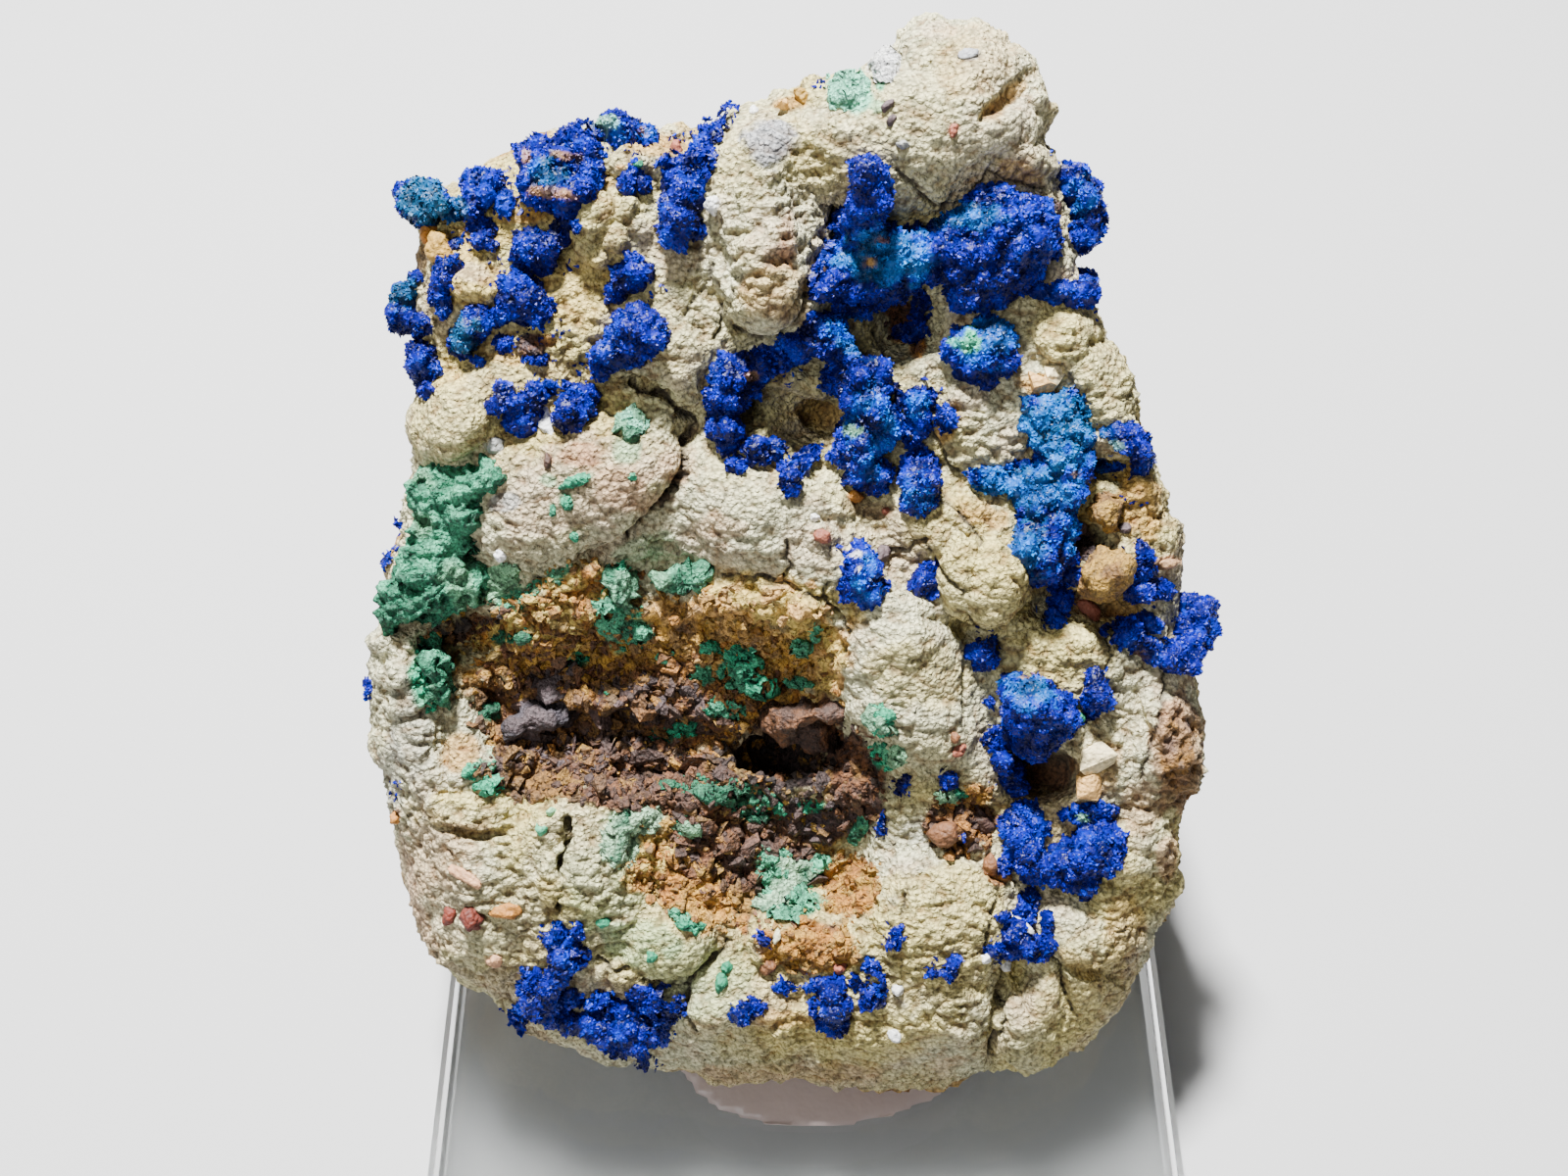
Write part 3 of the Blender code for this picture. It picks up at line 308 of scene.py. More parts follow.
# Iron oxide ground: darker and lighter colour, centre, half sizes, turn, crumbs and their size
IRON = [
    ("orange", "ochre", 650, 700, 206, 100, 8, 420, 0.85),
    ("rust", "tan", 742, 852, 116, 78, 34, 200, 0.75),
    ("orange", "sand", 590, 617, 70, 44, -22, 170, 0.85),
    ("orange", "sand", 530, 640, 62, 26, -25, 80, 0.8),
    # Painted light, partly: the fields at 782,638, 700,640, 838,680 and 760,668 are lighter than
    # the ground's own tan, for the band's wall that faces down
    ("apricot", "sand", 782, 638, 88, 50, 4, 150, 0.65),
    ("ochre", "apricot", 700, 640, 76, 36, 0, 150, 0.85),
    ("apricot", "sand", 838, 680, 24, 46, 0, 60, 0.6),
    ("rust", "ochre", 590, 676, 96, 34, -6, 260, 1.0),
    ("ochre", "apricot", 760, 668, 66, 30, 6, 150, 0.9),
    ("rust", "orange", 716, 696, 76, 30, 0, 200, 0.95),
    ("rust", "umber", 545, 735, 66, 44, 6, 190, 0.95),
    ("rust", "umber", 668, 735, 88, 44, 0, 240, 0.95),
    ("purple", "rust", 606, 706, 54, 26, 10, 44, 1.6),
    ("purple", "chocolate", 660, 716, 50, 24, 0, 40, 1.5),
    ("purple", "rust", 560, 700, 44, 22, 0, 26, 1.4),
    ("chocolate", "rust", 700, 730, 46, 20, 10, 20, 1.5),
    ("chocolate", "rust", 650, 786, 96, 28, 4, 150, 0.95),
    ("chocolate", "purple", 610, 764, 100, 22, 4, 150, 1.0),
    # Painted shadow: black ground and crumbs in the deep hole
    ("black", "chocolate", 790, 778, 62, 40, 6, 140, 0.9),
    ("chocolate", "rust", 868, 795, 36, 58, -12, 190, 0.85),
    ("chocolate", "rust", 748, 862, 70, 50, 20, 260, 0.85),
    ("chocolate", "purple", 828, 836, 44, 26, 0, 100, 0.7),
    ("orange", "ochre", 706, 912, 56, 32, 34, 150, 0.7),
    ("orange", "sand", 662, 880, 30, 36, 20, 50, 0.6),
    ("chocolate", "umber", 544, 792, 56, 26, 6, 110, 1.0),
    ("chocolate", "rust", 640, 812, 66, 18, 4, 100, 1.0),
    ("chocolate", "rust", 660, 792, 100, 24, 4, 200, 0.95),
    ("chocolate", "rust", 640, 786, 80, 20, 4, 60, 1.5),
    ("chocolate", "rust", 760, 858, 80, 30, 24, 90, 1.3),
    ("orange", "tan", 868, 905, 30, 36, 0, 110, 0.6),
    ("orange", "ochre", 824, 966, 52, 28, 4, 160, 0.7),
    ("chocolate", "orange", 980, 842, 38, 34, 0, 150, 0.95),
    ("orange", "ochre", 996, 812, 16, 14, 0, 30, 0.7),
    # Painted shadow: black ground and crumbs in the slot under the left malachite crust
    ("black", "rust", 470, 642, 52, 12, -18, 70, 0.8),
    ("rust", "orange", 1021, 895, 12, 10, 0, 20, 0.7),
    ("purple", "rust", 542, 352, 16, 11, 0, 30, 0.5),
    ("chocolate", "purple", 1106, 556, 12, 16, 0, 30, 0.6),
    ("umber", "flesh", 1204, 770, 20, 44, 0, 30, 0.4),
    ("chocolate", "rust", 918, 324, 20, 24, 0, 40, 0.5),
    ("rust", "orange", 938, 352, 8, 16, 0, 18, 0.5),
    ("chocolate", "purple", 1074, 212, 8, 8, 0, 14, 0.7),
]

# Green crumb on and round the iron oxide: colour, centre, half sizes, turn, crumbs and their size
GREENS = [
    ("pale_green", 642, 640, 24, 22, 0, 60, 0.55), ("bright_green", 632, 605, 18, 26, 0, 60, 0.7),
    ("deep_green", 512, 652, 12, 9, 0, 16, 0.6), ("deep_green", 534, 649, 10, 8, 0, 12, 0.6),
    ("bright_green", 590, 674, 9, 8, 0, 10, 0.6), ("bright_green", 620, 704, 5, 5, 0, 4, 0.5),
    ("deep_green", 499, 727, 12, 9, 0, 14, 0.6), ("pale_green", 681, 673, 8, 11, 0, 12, 0.6),
    ("bright_green", 726, 661, 11, 7, 0, 12, 0.6), ("pale_green", 717, 688, 14, 10, 0, 22, 0.6),
    ("pale_green", 750, 684, 18, 20, 0, 44, 0.7), ("bright_green", 738, 724, 18, 10, 0, 22, 0.6),
    ("deep_green", 675, 751, 14, 8, 0, 18, 0.55), ("bright_green", 699, 744, 16, 8, 0, 22, 0.6),
    ("deep_green", 706, 802, 30, 10, 0, 44, 0.55), ("deep_green", 752, 812, 44, 16, 10, 90, 0.6),
    ("bright_green", 776, 826, 24, 10, 10, 40, 0.6), ("bright_green", 700, 842, 12, 10, 0, 16, 0.5),
    ("celadon", 648, 836, 32, 13, -8, 40, 0.4), ("celadon", 632, 866, 22, 20, 0, 30, 0.4),
    ("pale_green", 698, 936, 8, 8, 0, 10, 0.6), ("bright_green", 711, 946, 8, 5, 0, 8, 0.6),
    ("pale_green", 792, 884, 26, 18, 40, 60, 0.55), ("pale_green", 806, 918, 30, 20, 0, 70, 0.5),
    ("bright_green", 900, 772, 16, 10, 40, 18, 0.5), ("bright_green", 502, 802, 13, 9, 0, 18, 0.7),
    ("pale_green", 494, 782, 12, 8, 0, 12, 0.5), ("bright_green", 830, 822, 20, 8, 0, 16, 0.5),
    ("pale_green", 560, 592, 30, 8, -28, 30, 0.45), ("pale_green", 522, 612, 26, 12, -20, 40, 0.45),
    ("bright_green", 974, 812, 13, 8, 0, 16, 0.6), ("bright_green", 440, 690, 20, 34, 0, 60, 0.6),
]

# Cracks in the clay: half width in picture points, depth in millimetres, then the route
CRACKS = [
    (5.4, 1.3, [(577, 834), (581, 856), (574, 880), (576, 905), (571, 924)]),
    (3.4, 0.8, [(706, 430), (700, 456), (694, 486), (672, 516), (655, 530), (640, 548)]),
    (3.2, 0.7, [(676, 518), (686, 496), (700, 482)]),
    (3.0, 0.8, [(640, 388), (652, 396), (678, 402), (692, 418), (706, 430)]),
    (2.6, 0.5, [(914, 172), (922, 181), (932, 186), (938, 198), (953, 209)]),
    (2.6, 0.5, [(1006, 172), (1002, 190), (982, 205), (962, 210), (953, 216)]),
    (2.2, 0.4, [(1006, 172), (1026, 182), (1048, 186), (1068, 192)]),
    (2.6, 0.6, [(848, 213), (846, 240), (850, 262)]),
    (3.0, 0.7, [(826, 300), (812, 322), (796, 340), (770, 346), (748, 334)]),
    (2.2, 0.4, [(690, 326), (708, 306), (722, 286), (730, 270)]),
    (2.4, 0.5, [(728, 344), (736, 330), (730, 306)]),
    (2.4, 0.5, [(893, 340), (897, 352), (904, 366), (914, 372)]),
    (2.4, 0.5, [(950, 432), (958, 452), (966, 474), (978, 478)]),
    (2.8, 0.7, [(960, 512), (980, 524), (994, 540), (1000, 552), (996, 570)]),
    (2.8, 0.7, [(996, 570), (988, 590), (984, 604), (992, 618)]),
    (2.2, 0.5, [(960, 576), (976, 590), (984, 604)]),
    (2.8, 0.7, [(992, 618), (1006, 640), (1030, 636), (1046, 620)]),
    (2.6, 0.6, [(805, 552), (800, 568), (810, 580), (800, 590)]),
    (2.6, 0.6, [(846, 592), (838, 600), (842, 612), (858, 625)]),
    (2.2, 0.5, [(858, 625), (868, 646), (860, 664)]),
    (2.2, 0.4, [(735, 588), (780, 590), (812, 600), (842, 606)]),
    (2.2, 0.5, [(904, 560), (916, 562), (928, 558), (944, 548)]),
    (2.2, 0.4, [(944, 548), (956, 572), (968, 584)]),
    (3.4, 0.9, [(742, 958), (728, 980), (700, 1002), (682, 1010), (656, 1000)]),
    (3.0, 0.8, [(700, 1006), (702, 1030), (712, 1048)]),
    (3.0, 0.8, [(1010, 1086), (1018, 1062), (1024, 1036), (1018, 1010), (1024, 990)]),
    (2.6, 0.6, [(1058, 968), (1078, 984), (1086, 1010), (1100, 1040)]),
    (2.4, 0.5, [(930, 905), (926, 925), (922, 936)]),
    (2.4, 0.5, [(1012, 920), (1006, 950), (1002, 975)]),
    (2.4, 0.6, [(1196, 640), (1190, 700), (1176, 760), (1162, 790)]),
    (2.2, 0.4, [(1126, 650), (1132, 664), (1128, 680)]),
    (2.0, 0.4, [(610, 980), (626, 990), (640, 986)]),
    (2.2, 0.5, [(560, 590), (540, 596), (520, 612), (500, 618)]),
    (2.0, 0.4, [(1090, 380), (1096, 400), (1104, 420)]),
    (2.0, 0.4, [(620, 420), (636, 430), (650, 450)]),
]

# Small hard inclusions: colour, centre, half sizes in picture points, turn, rise in millimetres
INCLUSIONS = [
    ("red", 459, 932, 8, 11, 15, 0.9), ("red", 482, 937, 10, 14, 0, 1.1),
    ("orange", 516, 930, 15, 8, 6, 0.9), ("blush", 474, 894, 17, 5, 32, 0.6),
    ("blush", 504, 981, 7, 6, 0, 0.5), ("orange", 404, 833, 6, 7, 0, 0.9),
    ("white", 459, 505, 8, 6, 0, 0.5), ("white", 511, 567, 5, 8, -30, 0.5),
    ("white", 552, 421, 8, 6, 0, 2.4), ("white", 727, 209, 9, 8, 20, 0.8),
    ("white", 769, 115, 5, 5, 0, 0.6), ("white", 916, 1010, 5, 6, 0, 0.7),
    ("white", 912, 1057, 8, 6, 20, 0.8), ("white", 831, 528, 5, 4, 0, 0.5),
    ("pale", 771, 356, 7, 7, 0, 0.9), ("purple", 900, 566, 7, 14, 24, 1.0),
    ("brick", 839, 548, 9, 8, 0, 0.9), ("purple", 905, 108, 7, 4, -35, 0.4),
    ("purple", 910, 122, 7, 4, -50, 0.4), ("brick", 973, 132, 4, 7, 10, 0.3),
    ("chocolate", 559, 470, 4, 8, 0, 0.5), ("chocolate", 832, 276, 6, 6, 0, 0.9),
    ("tan", 449, 252, 15, 15, 0, 1.8), ("orange", 440, 240, 9, 10, 0, 1.2),
    ("brick", 690, 151, 6, 6, 0, 0.8),
    ("green", 665, 976, 5, 6, 0, 0.6), ("green", 742, 987, 5, 6, 0, 0.7),
    ("green", 735, 1003, 6, 9, 10, 0.8), ("green", 616, 941, 7, 6, 0, 0.5),
    ("pale_green", 553, 845, 6, 5, 0, 0.7), ("mist_green", 563, 829, 5, 5, 0, 0.7),
    ("green", 652, 167, 5, 4, 0, 0.5), ("pale_green", 838, 882, 9, 11, 0, 1.2),
    ("orange", 872, 507, 8, 6, 0, 0.8), ("brick", 904, 522, 4, 5, 0, 0.5),
    ("rust", 962, 850, 14, 12, 0, 1.2), ("chocolate", 1000, 838, 13, 10, 20, 1.2),
    ("rust", 1010, 882, 8, 12, 0, 1.2),
    ("brick", 1108, 622, 14, 7, 38, 1.0), ("purple", 1100, 540, 7, 6, 0, 0.8),
    ("purple", 1148, 538, 6, 5, 0, 0.8), ("chocolate", 1076, 213, 8, 7, 0, 1.2),
    ("flesh", 1192, 575, 14, 5, -6, 0.6), ("white", 1032, 938, 5, 5, 0, 2.2),
    ("white", 1006, 978, 5, 6, 0, 0.8), ("brick", 857, 988, 6, 6, 0, 1.0),
    ("rust", 783, 985, 8, 8, 0, 1.0), ("pale", 794, 954, 5, 5, 0, 1.0),
    ("brick", 978, 765, 8, 5, -20, 0.7), ("rust", 974, 752, 5, 6, 0, 0.6),
    ("grey", 921, 147, 6, 4, 0, 0.4), ("bluegrey", 989, 55, 10, 7, 0, 0.4),
    ("green", 1103, 733, 5, 6, 0, 0.7), ("grey", 504, 455, 11, 8, 0, 0.25),
    ("white", 433, 362, 6, 5, 0, 0.9), ("white", 463, 210, 4, 4, 0, 2.6),
]

# Angular crystal fragments, given in the same way
FRAGMENTS = [
    ("peach", 1120, 774, 25, 19, -55, 2.4), ("apricot", 1110, 800, 18, 17, 0, 2.2),
    ("apricot", 1060, 392, 18, 14, 30, 1.6), ("peach", 1076, 384, 16, 14, -30, 1.6),
    ("apricot", 800, 107, 8, 7, 0, 1.0),
    ("tan", 818, 101, 9, 8, 20, 1.1), ("white", 1026, 984, 6, 8, 20, 0.9),
]

# Swells and dents of the clay: centre, half sizes in picture points, turn, rise in millimetres
KNOBS = [
    (946, 42, 30, 26, 0, 0.7), (1002, 50, 38, 34, 0, 0.5), (1050, 82, 20, 40, -20, 1.3),
    (1032, 132, 40, 24, -30, 0.8), (1054, 166, 24, 15, 20, 0.9), (1024, 103, 34, 13, -44, -0.85),
    (1072, 125, 10, 26, -10, 0.8), (960, 128, 58, 52, 0, 0.4), (897, 80, 22, 24, 0, 0.5),
    (864, 96, 24, 26, 0, 0.6), (832, 94, 12, 16, 0, 0.7), (800, 105, 18, 8, 0, 0.6),
    (784, 143, 26, 26, 0, 0.9), (787, 180, 9, 7, 0, 0.7), (772, 214, 46, 24, 0, 0.3),
    (768, 262, 24, 20, 0, 0.6), (802, 244, 24, 18, -10, 0.6), (780, 304, 38, 34, 0, 1.0),
    (832, 236, 20, 26, 0, 0.6), (737, 262, 7, 28, -12, -0.8), (800, 262, 22, 8, -20, -0.35),
    (776, 284, 30, 8, 5, -0.35), (852, 228, 5, 30, 0, -0.8), (812, 300, 6, 24, 35, -0.7),
    (700, 284, 38, 32, 0, 0.6), (692, 362, 30, 34, -10, 0.8), (696, 398, 26, 24, 0, 0.3),
    (818, 392, 40, 15, 12, 0.9), (836, 424, 27, 17, 10, -1.3), (806, 442, 24, 10, 0, -0.7),
    (852, 512, 26, 17, 0, 0.6), (838, 548, 17, 14, 0, 0.8), (760, 522, 66, 48, 15, 0.7),
    (772, 567, 58, 15, 0, 0.4), (836, 582, 28, 24, 0, 0.7), (1002, 592, 48, 44, 0, 1.6),
    (966, 545, 30, 34, 0, 0.8), (1012, 520, 38, 16, 20, 0.8), (988, 404, 20, 16, 0, 0.9),
    (1044, 334, 30, 34, 0, 0.5), (1110, 328, 32, 20, 0, 0.7), (1134, 390, 30, 42, 0, 0.6),
    (1082, 348, 28, 24, 0, 0.5), (922, 638, 46, 34, 0, 0.6), (880, 672, 26, 26, 0, 0.8),
    (942, 692, 56, 54, 0, 0.6), (888, 735, 28, 24, 0, 0.6), (950, 748, 44, 32, 0, 0.8),
    (984, 700, 4, 50, 0, -0.7), (1044, 652, 32, 22, 0, 0.5), (1102, 662, 28, 22, 0, 0.6),
    (1186, 520, 18, 28, 0, 0.7), (1162, 500, 18, 14, 0, 0.6), (1190, 545, 22, 18, 0, 0.6),
    (1142, 450, 34, 12, 0, 0.8), (1136, 480, 28, 13, 0, -1.6), (1116, 548, 15, 12, 20, -1.8),
    (1120, 616, 34, 13, 20, -1.5), (1142, 682, 28, 18, 20, 0.5), (1198, 738, 34, 30, 0, 0.7),
    (1206, 782, 24, 26, 0, 0.8), (1172, 748, 6, 46, -20, -0.8), (1160, 792, 26, 34, 0, 0.5),
    (1166, 850, 18, 22, 0, 0.5), (1150, 884, 24, 18, 0, 0.7), (1186, 868, 14, 22, 0, 0.6),
    (1112, 942, 46, 46, 0, 1.2), (1112, 994, 40, 7, 15, -0.9), (1050, 1042, 34, 48, 0, 1.0),
    (1018, 1042, 5, 48, 8, -0.8), (1086, 1012, 8, 38, -20, -0.9), (962, 950, 64, 84, 0, 0.6),
    (984, 1040, 32, 32, 0, 0.7), (1008, 830, 18, 12, 0, -0.6), (965, 850, 15, 13, 0, 1.0),
    (986, 838, 13, 12, 0, 0.9),
    (998, 864, 12, 10, 0, 0.7),
    (1062, 784, 40, 26, 0, -2.6), (604, 906, 56, 46, 20, 1.0), (682, 966, 46, 32, -10, 0.9),
    (762, 972, 28, 30, 0, 0.7), (520, 902, 56, 52, 0, 0.5), (482, 828, 48, 20, 5, 0.9),
    (482, 849, 38, 6, 6, -1.3), (536, 852, 36, 18, 0, 0.5), (560, 832, 22, 15, 0, 0.8),
    (422, 792, 28, 64, 0, 0.7), (453, 782, 4, 56, 0, -0.7), (394, 656, 16, 13, 0, 0.8),
    (402, 690, 20, 13, 0, 0.8), (416, 718, 20, 11, 0, 0.7), (390, 764, 12, 18, 0, 0.6),
    (434, 742, 22, 14, 0, 0.7), (424, 768, 15, 10, 0, 0.5), (430, 920, 14, 52, 0, 0.5),
    (482, 962, 46, 28, 0, 0.6), (452, 430, 44, 42, 0, 1.3), (462, 484, 38, 5, 0, -1.0),
    (610, 216, 17, 20, 20, 1.2), (641, 214, 11, 15, 10, 1.0), (630, 242, 15, 18, 0, 0.9),
    (600, 242, 13, 20, 20, 0.8), (612, 264, 9, 12, 0, 0.8), (656, 232, 13, 13, 0, 0.6),
    (652, 166, 46, 14, 0, 0.8), (692, 141, 18, 7, 0, 0.8), (487, 292, 28, 18, 0, 1.2),
    (541, 350, 18, 12, 0, 0.6), (586, 585, 34, 18, -15, 1.1), (602, 611, 24, 13, 0, 0.9),
    (774, 615, 64, 22, 0, 1.0), (826, 620, 28, 22, 0, 0.8), (640, 730, 24, 12, 0, -0.8),
    (540, 757, 46, 9, 0, -0.5), (446, 634, 44, 8, -15, -1.5), (790, 768, 50, 24, 5, -2.0),
    (620, 668, 120, 58, 0, 1.6), (722, 684, 86, 48, 0, 1.3), (640, 702, 34, 22, 0, 0.9),
    (512, 690, 26, 16, 0, 0.9), (556, 650, 30, 18, 0, 0.7), (650, 712, 130, 44, 4, 1.5),
    (610, 705, 30, 22, 0, 0.9), (668, 716, 24, 18, 0, 0.8), (578, 700, 22, 16, 0, 0.6),
    (770, 690, 26, 20, 0, 0.8), (742, 742, 40, 16, 8, 0.8), (655, 765, 40, 14, 4, 0.7),
    (612, 768, 112, 26, 4, 1.7), (575, 758, 70, 20, 4, 1.5), (650, 764, 64, 18, 4, 1.2),
    (548, 752, 40, 16, 0, 1.0), (606, 780, 30, 14, 0, 0.9), (676, 782, 30, 12, 0, 0.7),
    (726, 770, 30, 14, 0, 0.6), (530, 776, 26, 12, 0, 0.6), (700, 768, 40, 22, 0, 1.0),
    (560, 772, 20, 10, 0, 0.5),
    (600, 748, 18, 12, 0, 0.6), (630, 762, 16, 10, 0, 0.6), (690, 742, 18, 14, 0, 0.6),
    (700, 720, 34, 20, 0, 0.9), (630, 770, 40, 18, 0, 0.8), (760, 862, 40, 24, 20, 0.7),
    (700, 890, 34, 24, 20, 0.7), (838, 966, 46, 20, 0, 0.8), (872, 1060, 40, 14, 0, 0.6),
    (800, 1040, 30, 18, 0, 0.5), (720, 1034, 26, 20, 0, 0.7), (620, 975, 26, 12, -20, -0.7),
    (870, 860, 18, 40, 25, -0.9), (914, 835, 12, 40, -10, 0.5), (650, 392, 40, 6, 12, -0.9),
]

# Low azurite crusts and tufts round the druses: centre, half sizes, turn, rise in millimetres
TUFTS = [
    (545, 152, 20, 10, -20, 0.9), (590, 142, 24, 12, -15, 0.9), (602, 166, 13, 20, 20, 0.8),
    (560, 205, 32, 12, 10, 0.9), (516, 206, 11, 15, 0, 0.5), (622, 134, 18, 11, 0, 0.9),
    (656, 140, 15, 9, 0, 0.7), (536, 270, 18, 9, -20, 0.6), (530, 290, 24, 13, 0, 0.7),
    (546, 316, 22, 18, -20, 0.8), (514, 320, 22, 12, -15, 0.7), (472, 346, 16, 20, 20, 0.8),
    (452, 272, 8, 22, 15, 0.8), (455, 310, 7, 18, 0, 0.6), (462, 250, 12, 7, -20, 0.5),
    (492, 232, 18, 12, 10, 0.5), (490, 370, 7, 5, 0, 0.4), (548, 368, 12, 6, 0, 0.5),
    (514, 350, 10, 12, 0, 0.4), (428, 332, 16, 14, 0, 0.9), (440, 374, 12, 18, 0, 0.8),
    (434, 398, 10, 9, 0, 0.6), (420, 282, 14, 9, 0, 0.8), (555, 398, 17, 11, -20, 0.4),
    (576, 230, 17, 11, 0, 0.6), (680, 165, 9, 8, 0, 0.7), (496, 190, 22, 16, 0, 0.7),
    (470, 216, 18, 13, 0, 0.7), (745, 118, 8, 17, 20, 0.9), (726, 136, 13, 13, 30, 0.8),
    (714, 166, 17, 24, 10, 0.8), (846, 286, 22, 22, 20, 1.0), (836, 330, 26, 14, -10, 0.9),
    (868, 258, 18, 22, 0, 0.9), (858, 226, 8, 18, 0, 0.7), (900, 246, 26, 12, 0, 0.7),
    (870, 312, 24, 12, 0, 0.7), (940, 314, 12, 18, 0, 0.7), (930, 340, 20, 12, 0, 0.7),
    (1002, 202, 24, 12, -30, 0.9), (962, 230, 26, 10, -20, 0.7), (1074, 242, 10, 24, 0, 0.6),
    (1066, 298, 22, 10, 0, 0.5), (790, 366, 20, 18, 20, 0.9), (816, 352, 20, 18, 0, 0.9),
    (850, 386, 16, 18, 0, 0.9), (866, 460, 24, 14, 0, 0.9), (862, 436, 12, 8, 0, 0.4),
    (935, 406, 22, 13, 0, 0.8), (965, 426, 11, 15, 0, 0.9), (890, 490, 15, 13, 0, 0.8),
    (824, 466, 13, 8, -30, 0.8), (805, 488, 11, 20, 0, 1.1), (930, 440, 13, 16, 0, 0.7),
    (936, 470, 16, 17, 0, 0.8), (752, 476, 11, 11, 0, 0.7), (786, 460, 14, 12, 0, 0.8),
    (1010, 490, 26, 14, 10, 0.9), (1040, 480, 16, 11, 0, 0.4), (1074, 590, 18, 12, 30, 0.7),
    (1092, 586, 13, 12, 0, 0.6), (1080, 616, 14, 8, 20, 0.5), (1078, 636, 12, 6, 0, 0.4),
    (1100, 430, 17, 28, 0, 0.9), (1062, 414, 18, 12, 0, 0.7), (1140, 440, 24, 8, -10, 0.7),
    (1165, 450, 12, 10, 0, 0.7), (1130, 476, 18, 8, 0, 0.5), (1176, 600, 22, 12, 0, 0.7),
    (1166, 565, 7, 18, -20, 0.5), (1160, 590, 18, 20, 0, 0.9), (1170, 636, 18, 12, 20, 0.6),
    (1142, 646, 16, 12, 0, 1.1), (1002, 666, 17, 12, 20, 0.7), (1116, 706, 13, 24, 10, 0.9),
    (1020, 756, 20, 15, 20, 0.7), (1032, 786, 17, 15, 30, 0.7), (1010, 716, 7, 7, 0, 0.5),
    (1100, 736, 12, 6, 0, 0.5), (1046, 850, 26, 32, 0, 1.0), (1026, 882, 9, 13, 0, 0.7),
    (1110, 830, 34, 12, 0, 0.9), (1100, 880, 28, 24, 0, 0.9),
    (1132, 860, 19, 28, 0, 0.9), (1046, 930, 13, 24, 10, 0.8), (1062, 966, 19, 13, -20, 0.8),
    (1030, 966, 27, 8, -10, 0.6), (1022, 936, 9, 7, 0, 0.5), (1070, 946, 8, 18, 0, 0.6),
    (972, 984, 6, 14, 15, 0.6), (958, 992, 13, 4, -5, 0.4), (914, 956, 9, 13, 25, 0.4),
    (848, 1026, 18, 24, -10, 1.4), (836, 1006, 14, 10, 0, 0.8), (856, 1046, 11, 11, 0, 0.9),
    (888, 986, 11, 9, 0, 0.7), (890, 1018, 16, 12, -20, 0.9), (898, 1004, 7, 13, 0, 0.7),
    (873, 1003, 9, 9, 0, 0.4), (765, 1030, 18, 12, -15, 1.0), (752, 1036, 12, 5, 0, 0.4),
    (778, 958, 7, 9, 0, 0.7), (800, 1008, 14, 7, 0, 0.3), (568, 956, 11, 17, 10, 0.8),
    (590, 951, 7, 11, 0, 0.7), (585, 976, 18, 14, -10, 0.7), (546, 1010, 20, 24, 0, 1.3),
    (572, 1021, 24, 14, -10, 1.1), (540, 1031, 17, 12, 0, 0.9), (616, 1036, 24, 26, 0, 1.4),
    (626, 1060, 24, 13, 20, 1.1), (676, 1026, 24, 20, 20, 1.2), (670, 1050, 18, 18, 0, 1.1),
    (656, 1016, 18, 12, 0, 0.7), (656, 1080, 8, 15, -10, 0.7), (528, 1046, 7, 20, -30, 0.7),
    (404, 536, 6, 15, 15, 0.6), (394, 570, 7, 11, 0, 0.5), (376, 702, 4, 14, 0, 0.4),
    (921, 800, 6, 13, 30, 0.5), (900, 840, 4, 14, 10, 0.3), (968, 796, 10, 10, 0, 0.4),
]

# Malachite solids that are paler and thinner than the rest: how much of each, 0 to 1
PALE_CRUSTS = {
    "malachite_flat_lower": (0.95, 0.7), "malachite_patch_lower": (0.95, 0.55),
    "malachite_tongue": (0.35, 0.3), "malachite_bead_right": (0.5, 0.2),
    "malachite_flake": (0.3, 0.7), "malachite_bead_pair": (0.1, 0.1),
}

# Where the pair of malachite beads is parted in two, and by what share of its height
BEAD_GAP, BEAD_GAP_SHARE = (697, 590, 8, 30, 0), 0.8

